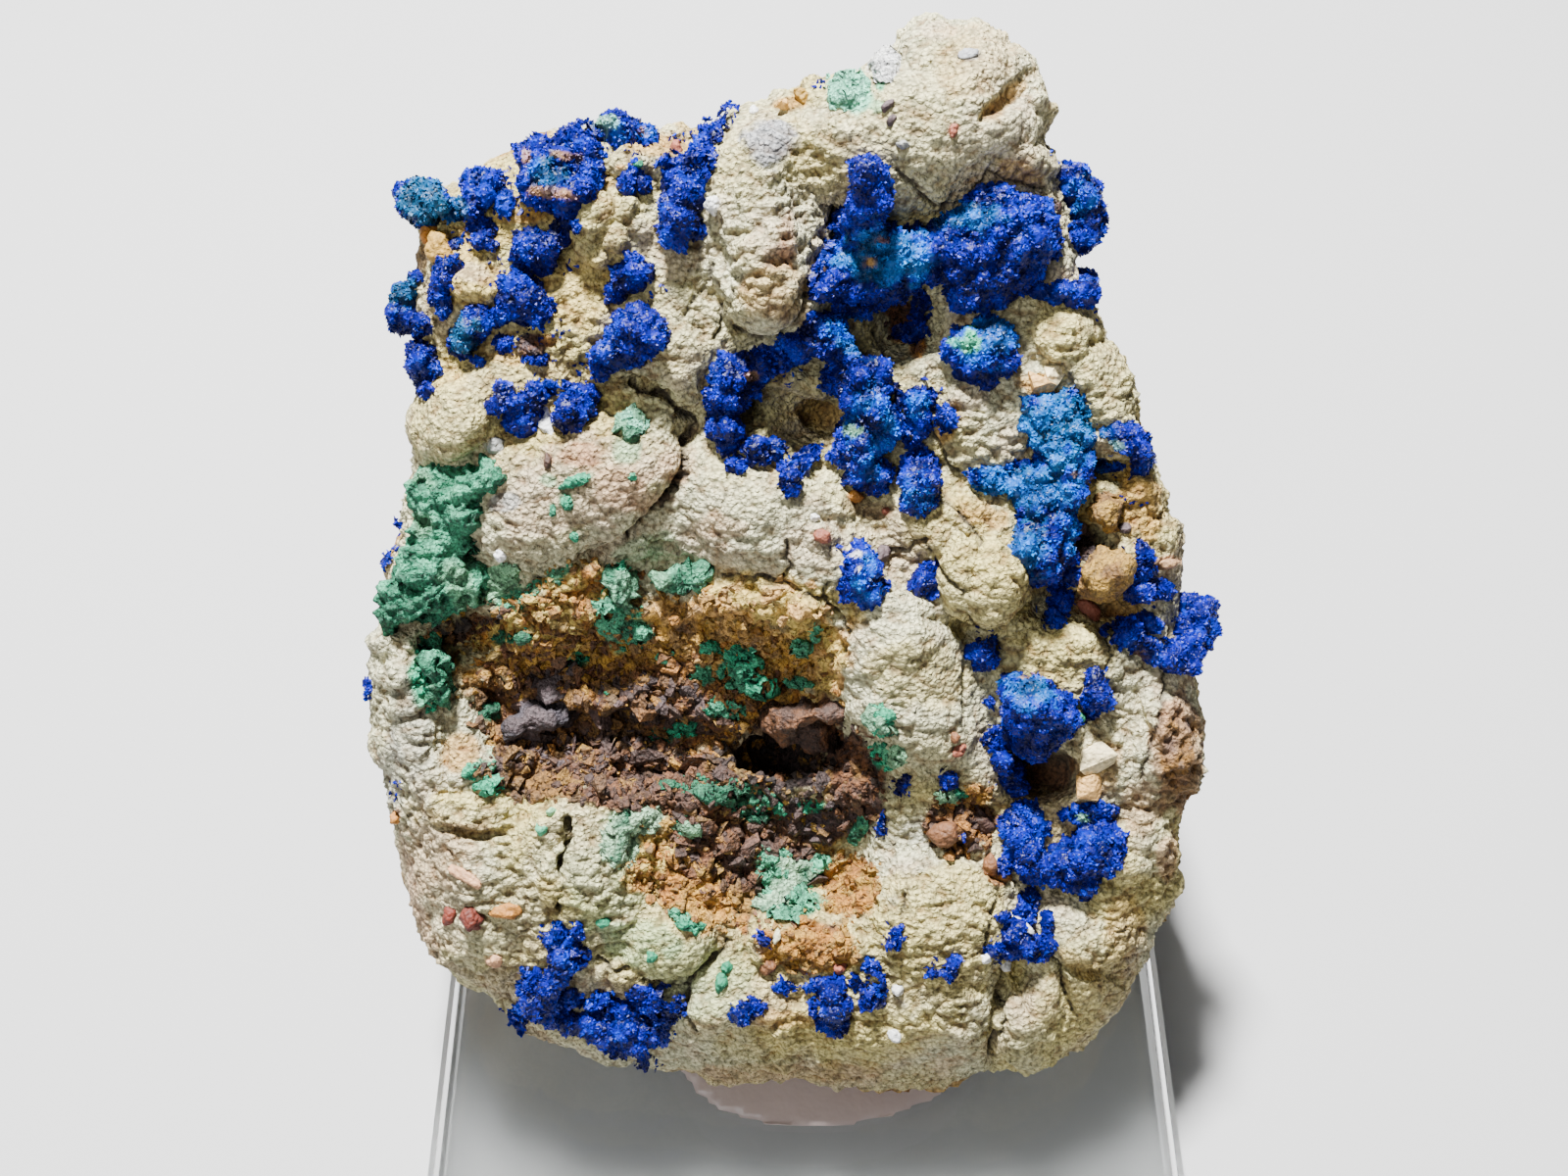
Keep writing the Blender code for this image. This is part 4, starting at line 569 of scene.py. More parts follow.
# Malachite crusts and smears: colour, centre, half sizes, turn, rise in millimetres
GREEN_CRUSTS = [
    ("mist_green", 506, 592, 28, 16, -22, 0.5), ("bright_green", 634, 590, 12, 20, 0, 0.9),
    ("pale_green", 622, 626, 19, 24, 0, 0.5), ("pale_green", 652, 646, 16, 12, 0, 0.5),
    ("bright_green", 446, 690, 15, 30, 0, 0.8), ("bright_green", 760, 678, 17, 22, -30, 0.9),
    ("bright_green", 776, 700, 22, 12, 20, 0.9), ("pale_green", 740, 724, 21, 10, 0, 0.6),
    ("pale_green", 818, 660, 10, 10, 0, 0.6), ("pale_green", 832, 645, 6, 10, 0, 0.5),
    ("pale_green", 814, 696, 17, 6, 10, 0.6), ("bright_green", 901, 735, 12, 18, -20, 0.8),
    ("pale_green", 792, 886, 22, 20, 40, 0.7), ("pale_green", 802, 920, 28, 21, 0, 0.6),
    ("pale_green", 838, 882, 9, 11, 0, 1.3), ("celadon", 646, 842, 34, 14, -15, 0.4),
    ("celadon", 632, 866, 21, 19, 20, 0.4), ("mist_green", 700, 846, 17, 11, 0, 0.5),
    ("mist_green", 965, 812, 13, 9, 20, 0.6), ("bright_green", 500, 801, 12, 8, 0, 0.8),
    ("bright_green", 480, 788, 10, 8, 0, 0.4), ("deep_green", 742, 812, 44, 11, 5, 0.7),
    ("deep_green", 768, 832, 20, 9, 10, 0.5), ("deep_green", 690, 802, 22, 6, 0, 0.4),
    ("mint", 864, 92, 24, 23, 0, 0.5), ("deep_green", 498, 726, 11, 8, -10, 0.5),
    ("deep_green", 666, 760, 12, 6, -30, 0.5), ("mist_green", 914, 772, 13, 13, 30, 0.4),
    ("bright_green", 590, 672, 7, 8, 0, 0.6), ("deep_green", 535, 650, 8, 7, 0, 0.6),
    ("bright_green", 726, 660, 10, 7, 0, 0.6), ("pale_green", 716, 688, 12, 8, 0, 0.6),
    ("bright_green", 698, 742, 14, 7, -20, 0.6), ("bright_green", 586, 492, 18, 6, -22, 0.4),
    ("bright_green", 579, 512, 6, 11, -20, 0.5), ("bright_green", 564, 520, 4, 7, 0, 0.4),
    ("bright_green", 645, 487, 4, 4, 0, 0.4), ("bright_green", 586, 547, 6, 5, 0, 0.4),
    ("pale_green", 876, 846, 10, 16, 20, 0.4), ("bright_green", 700, 944, 12, 6, 0, 0.5),
    ("mint", 645, 431, 18, 12, 12, 0.5), ("pale_green", 690, 932, 8, 9, 0, 0.4),
    ("white", 903, 66, 17, 19, 0, 0.8),
]

# Thin sprinklings of azurite beside the druses: centre, half sizes, crystals
SPRINKLES = [
    (514, 198, 20, 26, 46), (478, 240, 18, 20, 30), (545, 205, 26, 14, 34), (600, 178, 16, 12, 18),
    (560, 268, 26, 14, 30), (455, 292, 10, 20, 16), (505, 280, 12, 20, 12), (556, 336, 22, 16, 34),
    (520, 350, 12, 16, 14), (548, 366, 18, 8, 14), (425, 340, 14, 20, 24), (428, 388, 12, 22, 26),
    (403, 545, 8, 22, 22), (390, 572, 8, 14, 18), (372, 700, 4, 14, 10), (404, 800, 6, 10, 8),
    (402, 812, 5, 8, 8), (542, 398, 14, 14, 26), (670, 300, 10, 16, 8), (600, 378, 14, 10, 14),
    (690, 160, 16, 24, 34), (676, 168, 7, 7, 16), (712, 140, 10, 12, 14), (652, 150, 12, 8, 10),
    (620, 145, 30, 10, 30), (1085, 160, 6, 14, 10), (1072, 148, 6, 8, 10), (1118, 250, 8, 20, 16),
    (1122, 318, 6, 8, 12), (1066, 214, 12, 10, 10), (812, 366, 20, 10, 20), (800, 385, 14, 8, 10),
    (944, 408, 16, 22, 20), (964, 424, 12, 12, 22), (808, 482, 16, 22, 26), (832, 462, 10, 8, 12),
    (1036, 480, 20, 12, 30), (1110, 440, 10, 30, 20), (1148, 470, 26, 20, 34),
    (1156, 512, 16, 12, 12),
    (1160, 570, 14, 18, 24), (1172, 610, 12, 16, 18), (1190, 640, 26, 16, 30),
    (1096, 602, 12, 14, 12),
    (1068, 632, 14, 8, 18), (1080, 628, 10, 10, 12), (1004, 655, 16, 14, 26),
    (1122, 700, 12, 20, 16),
    (1014, 752, 12, 14, 18), (1024, 784, 16, 22, 26), (968, 795, 13, 12, 34),
    (920, 800, 10, 14, 22),
    (900, 842, 7, 14, 20), (970, 846, 16, 7, 18), (1044, 838, 24, 10, 18), (1082, 900, 24, 10, 20),
    (1030, 970, 26, 14, 36), (1040, 934, 22, 10, 20), (1012, 968, 10, 8, 16),
    (912, 955, 12, 12, 26),
    (956, 989, 14, 9, 26), (805, 1003, 14, 9, 22), (780, 958, 9, 8, 18), (846, 1000, 30, 12, 34),
    (890, 1004, 10, 26, 34), (762, 1030, 20, 12, 44), (570, 952, 20, 14, 40),
    (588, 972, 12, 16, 24),
    (505, 1038, 12, 14, 26), (636, 1022, 30, 12, 40), (675, 1050, 14, 20, 24),
    (662, 1082, 16, 8, 20),
    (600, 1020, 10, 12, 12), (837, 86, 5, 5, 12), (858, 568, 12, 14, 10), (893, 600, 8, 12, 10),
]

# Azurite: darkest, violet, clear blue and cyan
AZURITE_BLUES = (
    (0.001, 0.003, 0.12), (0.001, 0.005, 0.39), (0.001, 0.050, 0.56), (0.001, 0.20, 0.78),
)

# Where the azurite is weathered to another colour: colour, strength, centre, half sizes, turn
AZURITE_ACCENTS = [
    ("teal", 0.9, 432, 202, 28, 32, 0), ("teal", 0.6, 462, 212, 14, 20, 0),
    ("teal", 0.8, 474, 342, 16, 24, 0), ("teal", 0.7, 558, 178, 20, 22, 0),
    ("ochre", 0.6, 560, 196, 26, 8, 10), ("teal", 0.8, 412, 300, 18, 14, 0),
    ("sea", 0.5, 905, 262, 50, 34, 0), ("sea", 0.4, 985, 222, 36, 16, 0),
    ("sea", 0.5, 1088, 430, 50, 50, 0), ("teal", 0.35, 1104, 440, 22, 40, 0),
    ("sea", 0.4, 1040, 500, 60, 30, 0), ("sea", 0.35, 1046, 560, 30, 26, 0),
    ("sea", 0.3, 1016, 344, 26, 20, 0), ("sea", 0.35, 880, 350, 26, 18, 0),
    ("pale_green", 0.95, 992, 350, 11, 15, 10), ("pale_green", 0.7, 972, 348, 7, 5, 0),
    ("ochre", 0.85, 887, 268, 8, 8, 0), ("rust", 0.8, 901, 245, 9, 5, 0),
    ("ochre", 0.7, 1098, 484, 6, 5, 0), ("ochre", 0.6, 765, 384, 8, 6, 0),
    ("sea", 0.4, 1048, 700, 30, 16, 0), ("ochre", 0.7, 1056, 688, 22, 3, -15),
    ("mist_green", 0.8, 1106, 834, 8, 6, 0), ("ochre", 0.6, 1160, 668, 8, 6, 0),
    ("mist_green", 0.7, 870, 438, 10, 6, 0), ("white", 0.9, 874, 566, 5, 4, 0),
    ("white", 0.8, 877, 581, 4, 4, 0), ("mist_green", 0.5, 1130, 455, 18, 6, 0),
    ("mist_green", 0.6, 620, 126, 12, 8, 0), ("ochre", 0.6, 655, 134, 6, 5, 0),
    ("ochre", 0.5, 580, 160, 18, 5, 10), ("ochre", 0.5, 536, 160, 6, 8, 0),
]

# Teal and dull azurite near the top and the upper right, violet and glassy elsewhere
TEAL_SPOTS = [
    (440, 205, 34, 34, 0), (560, 178, 26, 26, 0), (412, 305, 20, 18, 0), (474, 340, 22, 26, 0),
    (905, 262, 60, 36, 0), (985, 220, 40, 20, 0), (1008, 350, 40, 32, 0), (860, 340, 40, 22, 0),
    (890, 440, 34, 60, 0), (940, 500, 22, 30, 0), (1086, 440, 60, 80, 0), (1016, 488, 40, 22, 0),
    (1040, 566, 44, 40, 0), (1090, 520, 20, 60, 0),
    (936, 414, 16, 18, 0), (1060, 560, 40, 30, 0), (1104, 200, 18, 30, 0), (1060, 715, 30, 20, 0),
    (640, 134, 40, 10, 0), (884, 590, 20, 30, 0),
]


def seen_at(points):
    """The picture point at which the camera sees each point."""
    offsets = points - EYE
    depth = offsets @ FORWARD
    px = PICTURE_WIDTH / 2 + FOCAL * (offsets @ RIGHTWARD) / depth
    py = PICTURE_HEIGHT / 2 - FOCAL * (offsets @ UPWARD) / depth
    return px, py


def sight_line(px, py):
    """The direction in which the camera sees a picture point."""
    across = (px - PICTURE_WIDTH / 2) / FOCAL
    above = (PICTURE_HEIGHT / 2 - py) / FOCAL
    return Vector(FORWARD + across * RIGHTWARD + above * UPWARD).normalized()


def smooth_step(value):
    """Value clipped to 0 to 1 and eased at both ends."""
    clipped = np.clip(value, 0, 1)
    return clipped * clipped * (3 - 2 * clipped)


def ellipse_depth(px, py, centre_x, centre_y, half_x, half_y, turn):
    """1 in the middle of an ellipse, 0 on its edge and negative outside."""
    cos_turn, sin_turn = math.cos(math.radians(turn)), math.sin(math.radians(turn))
    dx, dy = px - centre_x, py - centre_y
    along = (dx * cos_turn + dy * sin_turn) / half_x
    across = (dy * cos_turn - dx * sin_turn) / half_y
    return 1 - np.sqrt(along**2 + across**2)


def route_distance(px, py, route):
    """Distance in picture points from a line through the route's points."""
    nearest = np.full(np.shape(px), 1e9)
    for (x0, y0), (x1, y1) in zip(route, route[1:]):
        dx, dy = x1 - x0, y1 - y0
        along = np.clip(((px - x0) * dx + (py - y0) * dy) / (dx * dx + dy * dy), 0, 1)
        nearest = np.minimum(nearest, np.hypot(px - x0 - along * dx, py - y0 - along * dy))
    return nearest


def hashed(cells, seed):
    """A fixed random number from 0 to 1 for each whole-numbered cell."""
    x, y, z = (cells[..., axis].astype(np.int64) for axis in range(3))
    mixed = x * 374761393 + y * 668265263 + z * 1442695041 + seed * 1274126177
    mixed = (mixed ^ (mixed >> 13)) * 1274126177
    mixed = (mixed ^ (mixed >> 15)) * 668265263
    return ((mixed ^ (mixed >> 16)) & 0xFFFFFF) / 0xFFFFFF


def value_noise(points, size, seed):
    """Smooth noise from -1 to 1, with lumps of a size in millimetres."""
    scaled = points / (size * MM)
    base = np.floor(scaled)
    part = scaled - base
    part = part * part * (3 - 2 * part)
    total = np.zeros(len(points))
    for corner in itertools.product((0, 1), repeat=3):
        weight = np.prod(np.where(corner, part, 1 - part), axis=-1)
        total += weight * hashed(base + np.array(corner), seed)
    return 2 * total - 1


def fractal(points, size, seed, octaves=3):
    """Several sizes of value noise, each half as large and half as strong as the last."""
    layers = (value_noise(points, size / 2**n, seed + n) / 2**n for n in range(octaves))
    return sum(layers)


def grains(points, size, seed):
    """Distances to the nearest and second nearest grain's middle, in grain sizes."""
    scaled = points / (size * MM)
    base = np.floor(scaled)
    nearest = np.full(len(points), 9.0)
    second = np.full(len(points), 9.0)
    for corner in itertools.product((-1, 0, 1), repeat=3):
        cell = base + np.array(corner)
        middle = cell + np.stack([hashed(cell, seed + axis) for axis in range(3)], axis=-1)
        distance = np.linalg.norm(middle - scaled, axis=-1)
        second = np.minimum(second, np.maximum(nearest, distance))
        nearest = np.minimum(nearest, distance)
    return nearest, second


def colour(name):
    """A named colour as an array."""
    return np.array(COLOURS[name])


def blend(base, over, weight):
    """One set of colours laid over another with a weight for each point."""
    return base + (over - base) * np.asarray(weight)[:, None]


def vectors(mesh, what="co"):
    """The mesh's vertex positions or normals as an array."""
    values = np.empty(len(mesh.vertices) * 3, np.float32)
    mesh.vertices.foreach_get(what, values)
    return values.reshape(-1, 3).astype(float)


def corners(mesh):
    """The mesh's triangles or quads as an array of vertex numbers, triangulated."""
    mesh.calc_loop_triangles()
    values = np.empty(len(mesh.loop_triangles) * 3, np.int32)
    mesh.loop_triangles.foreach_get("vertices", values)
    return values.reshape(-1, 3)


def set_vectors(mesh, points):
    """Moves the mesh's vertices."""
    mesh.vertices.foreach_set("co", points.astype(np.float32).ravel())
    mesh.update()


def set_tint(mesh, tint):
    """Stores a colour on each vertex, which the materials read."""
    attribute = mesh.color_attributes.new("tint", "FLOAT_COLOR", "POINT")
    values = np.ones((len(mesh.vertices), 4), np.float32)
    values[:, :3] = np.clip(tint, 0, 1)
    attribute.data.foreach_set("color", values.ravel())


def add_piece(name, mesh, finish):
    """A piece of the specimen that rides on its one body."""
    piece = bpy.data.objects.new(name, mesh)
    bpy.context.scene.collection.objects.link(piece)
    mesh.materials.clear()
    mesh.materials.append(finish)
    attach(piece, "root")
    return piece


def mesh_of(name, points, faces, tint=None, smooth=False):
    """A new mesh from arrays."""
    mesh = bpy.data.meshes.new(name)
    mesh.from_pydata(points.tolist(), [], faces.tolist())
    if tint is not None:
        set_tint(mesh, tint)
    if smooth:
        mesh.shade_smooth()
    return mesh


def settle(piece):
    """Applies the piece's modifiers to its mesh."""
    graph = bpy.context.evaluated_depsgraph_get()
    mesh = bpy.data.meshes.new_from_object(piece.evaluated_get(graph))
    piece.modifiers.clear()
    piece.data = mesh
    return mesh


def refined(node, rounding, voxel):
    """A fine even mesh of a CAD node, its facets rounded off."""
    bm = bmesh.new()
    bm.from_mesh(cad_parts[node].data)
    bmesh.ops.remove_doubles(bm, verts=bm.verts, dist=1e-6)
    mesh = bpy.data.meshes.new(node)
    bm.to_mesh(mesh)
    bm.free()
    copy = bpy.data.objects.new("copy", mesh)
    bpy.context.scene.collection.objects.link(copy)
    if rounding:
        rounded = copy.modifiers.new("round", "SUBSURF")
        rounded.levels = rounded.render_levels = rounding
    even = copy.modifiers.new("even", "REMESH")
    even.mode = "VOXEL"
    even.voxel_size = voxel * MM
    fine = settle(copy)
    bpy.data.objects.remove(copy)
    return fine


def new_finish(name, roughness, ior=1.5):
    """A material, its node tree and its shader."""
    material = bpy.data.materials.new(name)
    material.use_nodes = True
    tree = material.node_tree
    shader = tree.nodes["Principled BSDF"]
    shader.inputs["Roughness"].default_value = roughness
    shader.inputs["IOR"].default_value = ior
    return material, tree, shader


def noise_node(tree, size, detail=4):
    """Noise with features of a size in millimetres, in the object's own space."""
    where = tree.nodes.new("ShaderNodeTexCoord")
    texture = tree.nodes.new("ShaderNodeTexNoise")
    texture.inputs["Scale"].default_value = 1 / (size * MM)
    texture.inputs["Detail"].default_value = detail
    tree.links.new(where.outputs["Object"], texture.inputs["Vector"])
    return texture


def cell_node(tree, size):
    """Voronoi cells of a size in millimetres, in the object's own space."""
    where = tree.nodes.new("ShaderNodeTexCoord")
    texture = tree.nodes.new("ShaderNodeTexVoronoi")
    texture.inputs["Scale"].default_value = 1 / (size * MM)
    tree.links.new(where.outputs["Object"], texture.inputs["Vector"])
    return texture


def ramp_node(tree, source, stops):
    """Grey levels looked up from a texture: (position, level) stops."""
    ramp = tree.nodes.new("ShaderNodeValToRGB")
    tree.links.new(source, ramp.inputs["Fac"])
    (first_at, first), (last_at, last) = stops
    ramp.color_ramp.elements[0].position = first_at
    ramp.color_ramp.elements[0].color = (first, first, first, 1)
    ramp.color_ramp.elements[1].position = last_at
    ramp.color_ramp.elements[1].color = (last, last, last, 1)
    return ramp.outputs["Color"]


def multiply_node(tree, first, second):
    """Two colours multiplied."""
    mix = tree.nodes.new("ShaderNodeMix")
    mix.data_type = "RGBA"
    mix.blend_type = "MULTIPLY"
    mix.inputs["Factor"].default_value = 1
    tree.links.new(first, mix.inputs[6])
    tree.links.new(second, mix.inputs[7])
    return mix.outputs[2]


def shaded_tint(tree, blotches, speckles, cells, crease_shade):
    """The vertices' colour, darkened by blotches and speckles, with painted shade in the creases
    between cells.
    """
    tint = tree.nodes.new("ShaderNodeVertexColor")
    tint.layer_name = "tint"
    shaded = tint.outputs["Color"]
    for source, stops in (
        (noise_node(tree, blotches[0]).outputs["Fac"], [(0.3, blotches[1]), (0.7, 1)]),
        (noise_node(tree, speckles[0], 2).outputs["Fac"], [(0.3, speckles[1]), (0.62, 1)]),
        # painted shade: darker towards the creases between the cells
        (cells.outputs["Distance"], [(0.38, 1), (0.78, crease_shade)]),
    ):
        shaded = multiply_node(tree, shaded, ramp_node(tree, source, stops))
    return shaded


def fine_normal(tree, cells, cell_height, relief):
    """Bumps for the cells and for each finer noise."""
    bump = tree.nodes.new("ShaderNodeBump")
    bump.invert = True
    bump.inputs["Distance"].default_value = cell_height * MM
    tree.links.new(cells.outputs["Distance"], bump.inputs["Height"])
    for size, height in relief:
        finer = tree.nodes.new("ShaderNodeBump")
        finer.inputs["Distance"].default_value = height * MM
        tree.links.new(noise_node(tree, size, 3).outputs["Fac"], finer.inputs["Height"])
        tree.links.new(bump.outputs["Normal"], finer.inputs["Normal"])
        bump = finer
    return bump.outputs["Normal"]


def tinted_finish(
    name, roughness, blotches, speckles, cells, relief, rough_spread=0.1, ior=1.5, specular=0.5
):
    """A material that takes its colour from the vertices and adds blotches, painted shade in the
    cell creases and fine relief.
    """
    material, tree, shader = new_finish(name, roughness, ior)
    shader.inputs["Specular IOR Level"].default_value = specular
    cell_size, cell_height, crease_shade = cells
    cell_texture = cell_node(tree, cell_size)
    shaded = shaded_tint(tree, blotches, speckles, cell_texture, crease_shade)
    tree.links.new(shaded, shader.inputs["Base Color"])
    sheen = tree.nodes.new("ShaderNodeMapRange")
    sheen.inputs["To Min"].default_value = roughness - rough_spread
    sheen.inputs["To Max"].default_value = min(1.0, roughness + rough_spread)
    tree.links.new(noise_node(tree, speckles[0] * 2).outputs["Fac"], sheen.inputs["Value"])
    tree.links.new(sheen.outputs["Result"], shader.inputs["Roughness"])
    normal = fine_normal(tree, cell_texture, cell_height, relief)
    tree.links.new(normal, shader.inputs["Normal"])
    return material


def iron_weights(px, py, ragged):
    """How far each point belongs to each stretch of iron oxide ground, 0 to 1."""
    return [
        smooth_step((ellipse_depth(px, py, *field[2:7]) + 0.28 * ragged) / 0.22) for field in IRON
    ]


def iron_colour(field, mood):
    """The field's colour between its darker and lighter one."""
    return blend(
        np.broadcast_to(colour(field[0]), (len(mood), 3)), colour(field[1]), smooth_step(mood)
    )


def wrinkled(points):
    """The points with the clay's grain direction: granules lie in short wavering rows."""
    stretched = points * np.array((0.8, 1.25, 1.25))
    bend = 0.5 * MM * value_noise(points, *NOISES["rows"])
    return stretched + bend[:, None] * np.array((0.2, 0.7, 0.7))


def clay_relief(points):
    """Height of the clay's swellings, knobs, cobbles and granules, and where it lies low, for the
    painted shade there.
    """
    knobs, _ = grains(points, *NOISES["knobs"])
    rows = wrinkled(points)
    cobbles, _ = grains(rows, *NOISES["cobbles"])
    granules, _ = grains(rows, *NOISES["granules"])
    coarse = smooth_step(0.52 + 1.3 * fractal(points, *NOISES["coarse"]))
    swell = SWELL_HEIGHT * fractal(points, *NOISES["swell"])
    height = swell + KNOB_HEIGHT * (GRAIN_MEAN - knobs) * coarse
    cobbled = (COBBLE_HEIGHT + COARSE_COBBLE * coarse) * (GRAIN_MEAN - cobbles)
    height += cobbled + (GRANULE_HEIGHT + COARSE_GRANULE * coarse) * (GRAIN_MEAN - granules)
    raised = (GRAIN_MEAN - granules) * 1.4
    # low places between cobbles and granules, which the colour darkens as painted shade
    hollow_shade = smooth_step((0.55 - raised - (GRAIN_MEAN - cobbles)) * 1.3 - 0.45)
    return height, hollow_shade


def raise_knobs(height, points, facing, px, py):
    """Adds the larger swells and dents to the height, each with a wavering outline."""
    bent_x = px + KNOB_WANDER * value_noise(points, *NOISES["bend_x"])
    bent_y = py + KNOB_WANDER * value_noise(points, *NOISES["bend_y"])
    for *spot, rise in KNOBS:
        inside = np.clip(ellipse_depth(bent_x, bent_y, *spot), 0, 1)
        height += rise * np.sqrt(1 - (1 - inside) ** 2) * facing


def raise_iron(height, points, facing, px, py):
    """Roughens the iron oxide ground, and returns how far each point lies in it."""
    lumps, _ = grains(points, *NOISES["iron_lumps"])
    bits, _ = grains(points, *NOISES["iron_bits"])
    iron = np.zeros(len(points))
    for weight in iron_weights(px, py, fractal(points, *NOISES["ragged"])):
        iron = np.maximum(iron, weight)
    iron *= facing
    height += iron * (IRON_LUMP * (GRAIN_MEAN - lumps) + IRON_BIT * (0.5 - bits) - IRON_SINK)
    return iron


def ripple_column(height, points, facing, px, py):
    """Adds the fine ripples of the column at the top."""
    column = smooth_step(ellipse_depth(px, py, *COLUMN) * 3) * facing
    along = py + 0.12 * px + RIPPLE_WANDER * value_noise(points, *NOISES["ripple"])
    height += RIPPLE_HEIGHT * column * np.sin(along * 2 * math.pi / RIPPLE_SPACING)


def cut_cracks(height, points, facing, px, py):
    """Cuts the cracks into the height, and returns how far each point lies in one."""
    gap = np.zeros(len(points))
    fine = FINE_WANDER * value_noise(points, *NOISES["fine_wander"])
    wander = fine + WIDE_WANDER * value_noise(points, *NOISES["wide_wander"])
    for half_width, depth, route in CRACKS:
        near = smooth_step(1.25 - route_distance(px + wander, py + wander, route) / half_width)
        height -= depth * near * facing
        gap = np.maximum(gap, near * facing)
    return gap


def break_back(height, points, facing):
    """Adds the coarse plates of the broken back."""
    broken, next_broken = grains(points, *NOISES["back_plates"])
    plates = np.clip((next_broken - broken) * 2.2, 0, 1)
    swell = BACK_SWELL * fractal(points, *NOISES["back_swell"])
    height += (1 - facing) * (PLATE_HEIGHT * plates + swell - BACK_SINK)


def matrix_relief(points, facing, px, py):
    """Fine height of the matrix in millimetres, and how far each point lies in a crack, in iron
    oxide or in a low place that gets painted shade."""
    height, hollow_shade = clay_relief(points)
    raise_knobs(height, points, facing, px, py)
    iron = raise_iron(height, points, facing, px, py)
    ripple_column(height, points, facing, px, py)
    gap = cut_cracks(height, points, facing, px, py)
    break_back(height, points, facing)
    return height, gap, iron, hollow_shade


def clay_tint(points, facing, ragged):
    """Colour of the bare clay, with iron stains on the back."""
    wide = fractal(points, *NOISES["wide_tone"])
    mid = fractal(points, *NOISES["mid_tone"])
    tint = np.broadcast_to(colour("cream"), (len(points), 3)).copy()
    tint = blend(tint, colour("pale"), smooth_step(0.5 + wide))
    tint = blend(tint, colour("pink"), 0.6 * smooth_step(mid * 1.4))
    tint = blend(tint, colour("yellow"), 0.55 * smooth_step(-wide * 1.5 + 0.25 * ragged))
    stain = fractal(points, *NOISES["stain"])
    tint = blend(tint, colour("ochre"), (1 - 0.85 * facing) * smooth_step(stain * 2 - 0.3))
    return blend(tint, colour("rust"), (1 - facing) * 0.7 * smooth_step(stain * 2.4 - 1.2))


def matrix_tint(points, facing, px, py, gap, iron, hollow_shade):
    """Colour of the matrix at each point, with painted shade in its cracks and low places."""
    ragged = fractal(points, *NOISES["ragged"])
    tint = clay_tint(points, facing, ragged)
    for name, strength, *spot in PATCHES:
        weight = smooth_step((ellipse_depth(px, py, *spot) + 0.3 * ragged) / 0.3)
        tint = blend(tint, colour(name), strength * weight * facing)
    mood = 0.5 + 0.9 * fractal(points, *NOISES["iron_tone"])
    for field, weight in zip(IRON, iron_weights(px, py, ragged)):
        tint = blend(tint, iron_colour(field, mood), weight * facing)
    ashen = smooth_step(value_noise(points, *NOISES["ashen"]) * 2.5 - 0.9) * iron
    tint = blend(tint, tint * 0.35 + 0.6 * colour("purple"), ashen)
    rusty = smooth_step(value_noise(points, *NOISES["rusty"]) * 2.5 - 1.0) * iron
    tint = blend(tint, colour("tan"), 0.6 * rusty)
    for name, *spot in GREENS:
        weight = smooth_step((ellipse_depth(px, py, *spot[:5]) + 0.45 * ragged) / 0.25)
        tint = blend(tint, colour(name), 0.85 * weight * facing)
    # painted shade: low places darkened to brown, less in the iron oxide
    tint = blend(tint, tint * np.array((0.50, 0.40, 0.33)), hollow_shade * (1 - 0.3 * iron))
    # painted shade: the cracks filled with near-black
    tint = blend(tint, colour("crack"), 0.9 * smooth_step(gap * 1.3 - 0.3))
    return tint * (1 + 0.10 * ragged)[:, None]


def thinned_back(mesh, facing):
    """The mesh with its back, which shows less detail, thinned out to fewer triangles."""
    thin = bpy.data.objects.new("thin", mesh)
    bpy.context.scene.collection.objects.link(thin)
    group = thin.vertex_groups.new(name="back")
    group.add(np.flatnonzero(facing < BACK_FACING).tolist(), 1.0, "REPLACE")
    fewer = thin.modifiers.new("fewer", "DECIMATE")
    fewer.vertex_group = "back"
    most_facing = facing[corners(mesh)].max(axis=1)
    behind = np.count_nonzero(most_facing < BACK_FACING) / len(most_facing)
    fewer.ratio = 1 - behind * (1 - BACK_SHARE)
    thinned = settle(thin)
    bpy.data.objects.remove(thin)
    return thinned


def facing_eye(points, normals):
    """1 where the rock faces the camera, 0 where it looks away."""
    toward_eye = EYE - points
    toward_eye /= np.linalg.norm(toward_eye, axis=1, keepdims=True)
    return smooth_step((np.sum(normals * toward_eye, axis=1) + 0.12) * 3.5)


def layer_of(mesh, name):
    """The mesh's stored number for each vertex."""
    values = np.empty(len(mesh.vertices), np.float32)
    mesh.attributes[name].data.foreach_get("value", values)
    return values.astype(float)


def carved_matrix():
    """The rock in fine relief as one mesh, and how far each vertex faces the eye, lies in a
    crack, in iron oxide or in a low place that gets painted shade."""
    mesh = refined("matrix", 2, MATRIX_VOXEL)
    points, normals = vectors(mesh), vectors(mesh, "normal")
    facing = facing_eye(points, normals)
    height, gap, iron, hollow_shade = matrix_relief(points, facing, *seen_at(points))
    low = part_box("matrix")[0][2] + FOOT_GAP
    resting = smooth_step((points[:, 2] - low) / FOOT_FADE)
    moved = points + normals * (height * MM * resting)[:, None]
    moved[:, 2] = np.maximum(moved[:, 2], low)
    set_vectors(mesh, moved)
    layers = {"facing": facing, "gap": gap, "iron": iron, "hollow_shade": hollow_shade}
    for name, values in layers.items():
        layer = mesh.attributes.new(name, "FLOAT", "POINT")
        layer.data.foreach_set("value", values.astype(np.float32))
    mesh = thinned_back(mesh, facing)
    return mesh, [layer_of(mesh, name) for name in layers]


